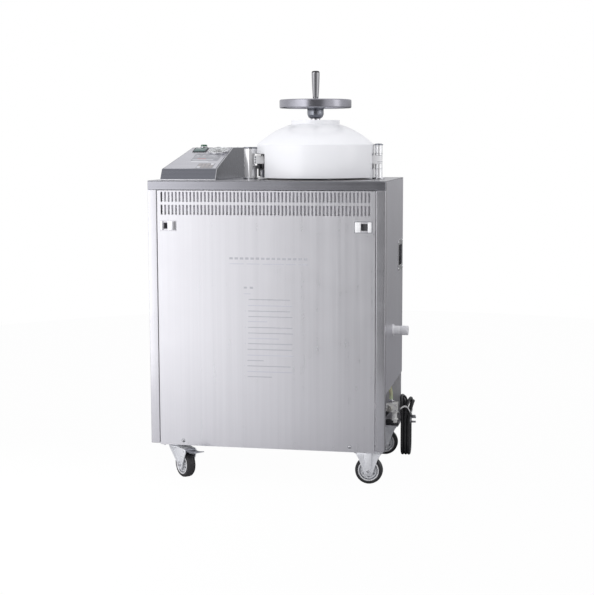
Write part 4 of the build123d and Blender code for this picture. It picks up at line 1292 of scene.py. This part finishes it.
world = bpy.data.worlds.new("studio")
bpy.context.scene.world = world
world.use_nodes = True
wt = world.node_tree
wt.nodes.clear()
wo = wt.nodes.new("ShaderNodeOutputWorld")
tc = wt.nodes.new("ShaderNodeTexCoord")
sep = wt.nodes.new("ShaderNodeSeparateXYZ")
wt.links.new(tc.outputs["Generated"], sep.inputs[0])
neg = wt.nodes.new("ShaderNodeMath"); neg.operation = "MULTIPLY"; neg.inputs[1].default_value = -1.0
wt.links.new(sep.outputs[1], neg.inputs[0])
at = wt.nodes.new("ShaderNodeMath"); at.operation = "ARCTAN2"
wt.links.new(sep.outputs[0], at.inputs[0]); wt.links.new(neg.outputs[0], at.inputs[1])
mr = wt.nodes.new("ShaderNodeMapRange")
mr.inputs["From Min"].default_value = -math.pi; mr.inputs["From Max"].default_value = math.pi
wt.links.new(at.outputs[0], mr.inputs["Value"])
cr = wt.nodes.new("ShaderNodeValToRGB")
wt.links.new(mr.outputs[0], cr.inputs[0])
stops = [(-180, 0.25), (-166, 0.25), (-154, 0.90), (-120, 1.05), (-90, 0.90), (-52, 1.65), (-18.5, 2.5), (-13.0, 0.18), (30, 0.26), (46, 1.0), (90, 0.95), (130, 0.70), (156, 0.25), (180, 0.25)]
while len(cr.color_ramp.elements) > 1:
    cr.color_ramp.elements.remove(cr.color_ramp.elements[-1])
for i, (a, v) in enumerate(stops):
    p_ = (a + 180) / 360
    e = cr.color_ramp.elements[0] if i == 0 else cr.color_ramp.elements.new(p_)
    e.position = p_
    e.color = (v * 0.985, v * 0.985, v * 1.0, 1.0)
elev = wt.nodes.new("ShaderNodeMapRange")
elev.interpolation_type = "SMOOTHSTEP"
elev.inputs["From Min"].default_value = 0.22; elev.inputs["From Max"].default_value = 0.75
wt.links.new(sep.outputs[2], elev.inputs["Value"])
sky = wt.nodes.new("ShaderNodeMix"); sky.data_type = "RGBA"
wt.links.new(elev.outputs[0], sky.inputs[0]); wt.links.new(cr.outputs[0], sky.inputs[6])
sky.inputs[7].default_value = (0.80, 0.80, 0.82, 1.0)
# the back of the room is bright just above the horizon
up_ = wt.nodes.new("ShaderNodeMapRange"); up_.interpolation_type = "SMOOTHSTEP"
up_.inputs["From Min"].default_value = -0.10; up_.inputs["From Max"].default_value = 0.16
wt.links.new(sep.outputs[2], up_.inputs["Value"])
bk = wt.nodes.new("ShaderNodeMapRange"); bk.interpolation_type = "SMOOTHSTEP"
bk.inputs["From Min"].default_value = 0.2; bk.inputs["From Max"].default_value = 0.8
wt.links.new(sep.outputs[1], bk.inputs["Value"])
ub = wt.nodes.new("ShaderNodeMath"); ub.operation = "MULTIPLY"
wt.links.new(up_.outputs[0], ub.inputs[0]); wt.links.new(bk.outputs[0], ub.inputs[1])
sky2 = wt.nodes.new("ShaderNodeMix"); sky2.data_type = "RGBA"
wt.links.new(ub.outputs[0], sky2.inputs[0]); wt.links.new(sky.outputs[2], sky2.inputs[6])
sky2.inputs[7].default_value = (0.85, 0.85, 0.87, 1.0)
bg1 = wt.nodes.new("ShaderNodeBackground")
wt.links.new(sky2.outputs[2], bg1.inputs["Color"])
bg1.inputs["Strength"].default_value = 1.0
bg2 = wt.nodes.new("ShaderNodeBackground")
bg2.inputs["Color"].default_value = (1.0, 1.0, 1.0, 1.0)
bg2.inputs["Strength"].default_value = 1.0
lp = wt.nodes.new("ShaderNodeLightPath")
mx = wt.nodes.new("ShaderNodeMixShader")
wt.links.new(lp.outputs["Is Camera Ray"], mx.inputs[0])
wt.links.new(bg1.outputs[0], mx.inputs[1]); wt.links.new(bg2.outputs[0], mx.inputs[2])
wt.links.new(mx.outputs[0], wo.inputs[0])


def area(name, loc, target, size, power, color=(1, 1, 1)):
    ld = bpy.data.lights.new(name, "AREA")
    ld.shape = "RECTANGLE"
    ld.size, ld.size_y = size
    ld.energy = power
    ld.color = color
    lo = bpy.data.objects.new(name, ld)
    COL.objects.link(lo)
    lo.location = loc
    lo.rotation_mode = "QUATERNION"
    lo.rotation_quaternion = (Vector(target) - Vector(loc)).to_track_quat("-Z", "Y")
    return lo


area("key", (-2.2, -2.6, 2.6), (0.0, 0.0, 0.6), (1.8, 1.8), 14)
area("top", (0.2, 0.3, 3.2), (0.0, 0.1, 0.5), (2.4, 2.4), 6)
area("rim", (2.6, -0.4, 1.5), (0.1, 0.0, 0.6), (1.0, 1.8), 6)
area("fill", (0.6, -3.2, 1.6), (0.0, 0.0, 0.8), (2.5, 2.0), 13).visible_glossy = False
bpy.context.scene.view_settings.view_transform = "Standard"
bpy.context.scene.view_settings.look = "None"
bpy.context.scene.view_settings.exposure = 0.0
bpy.context.scene.view_settings.gamma = 1.0
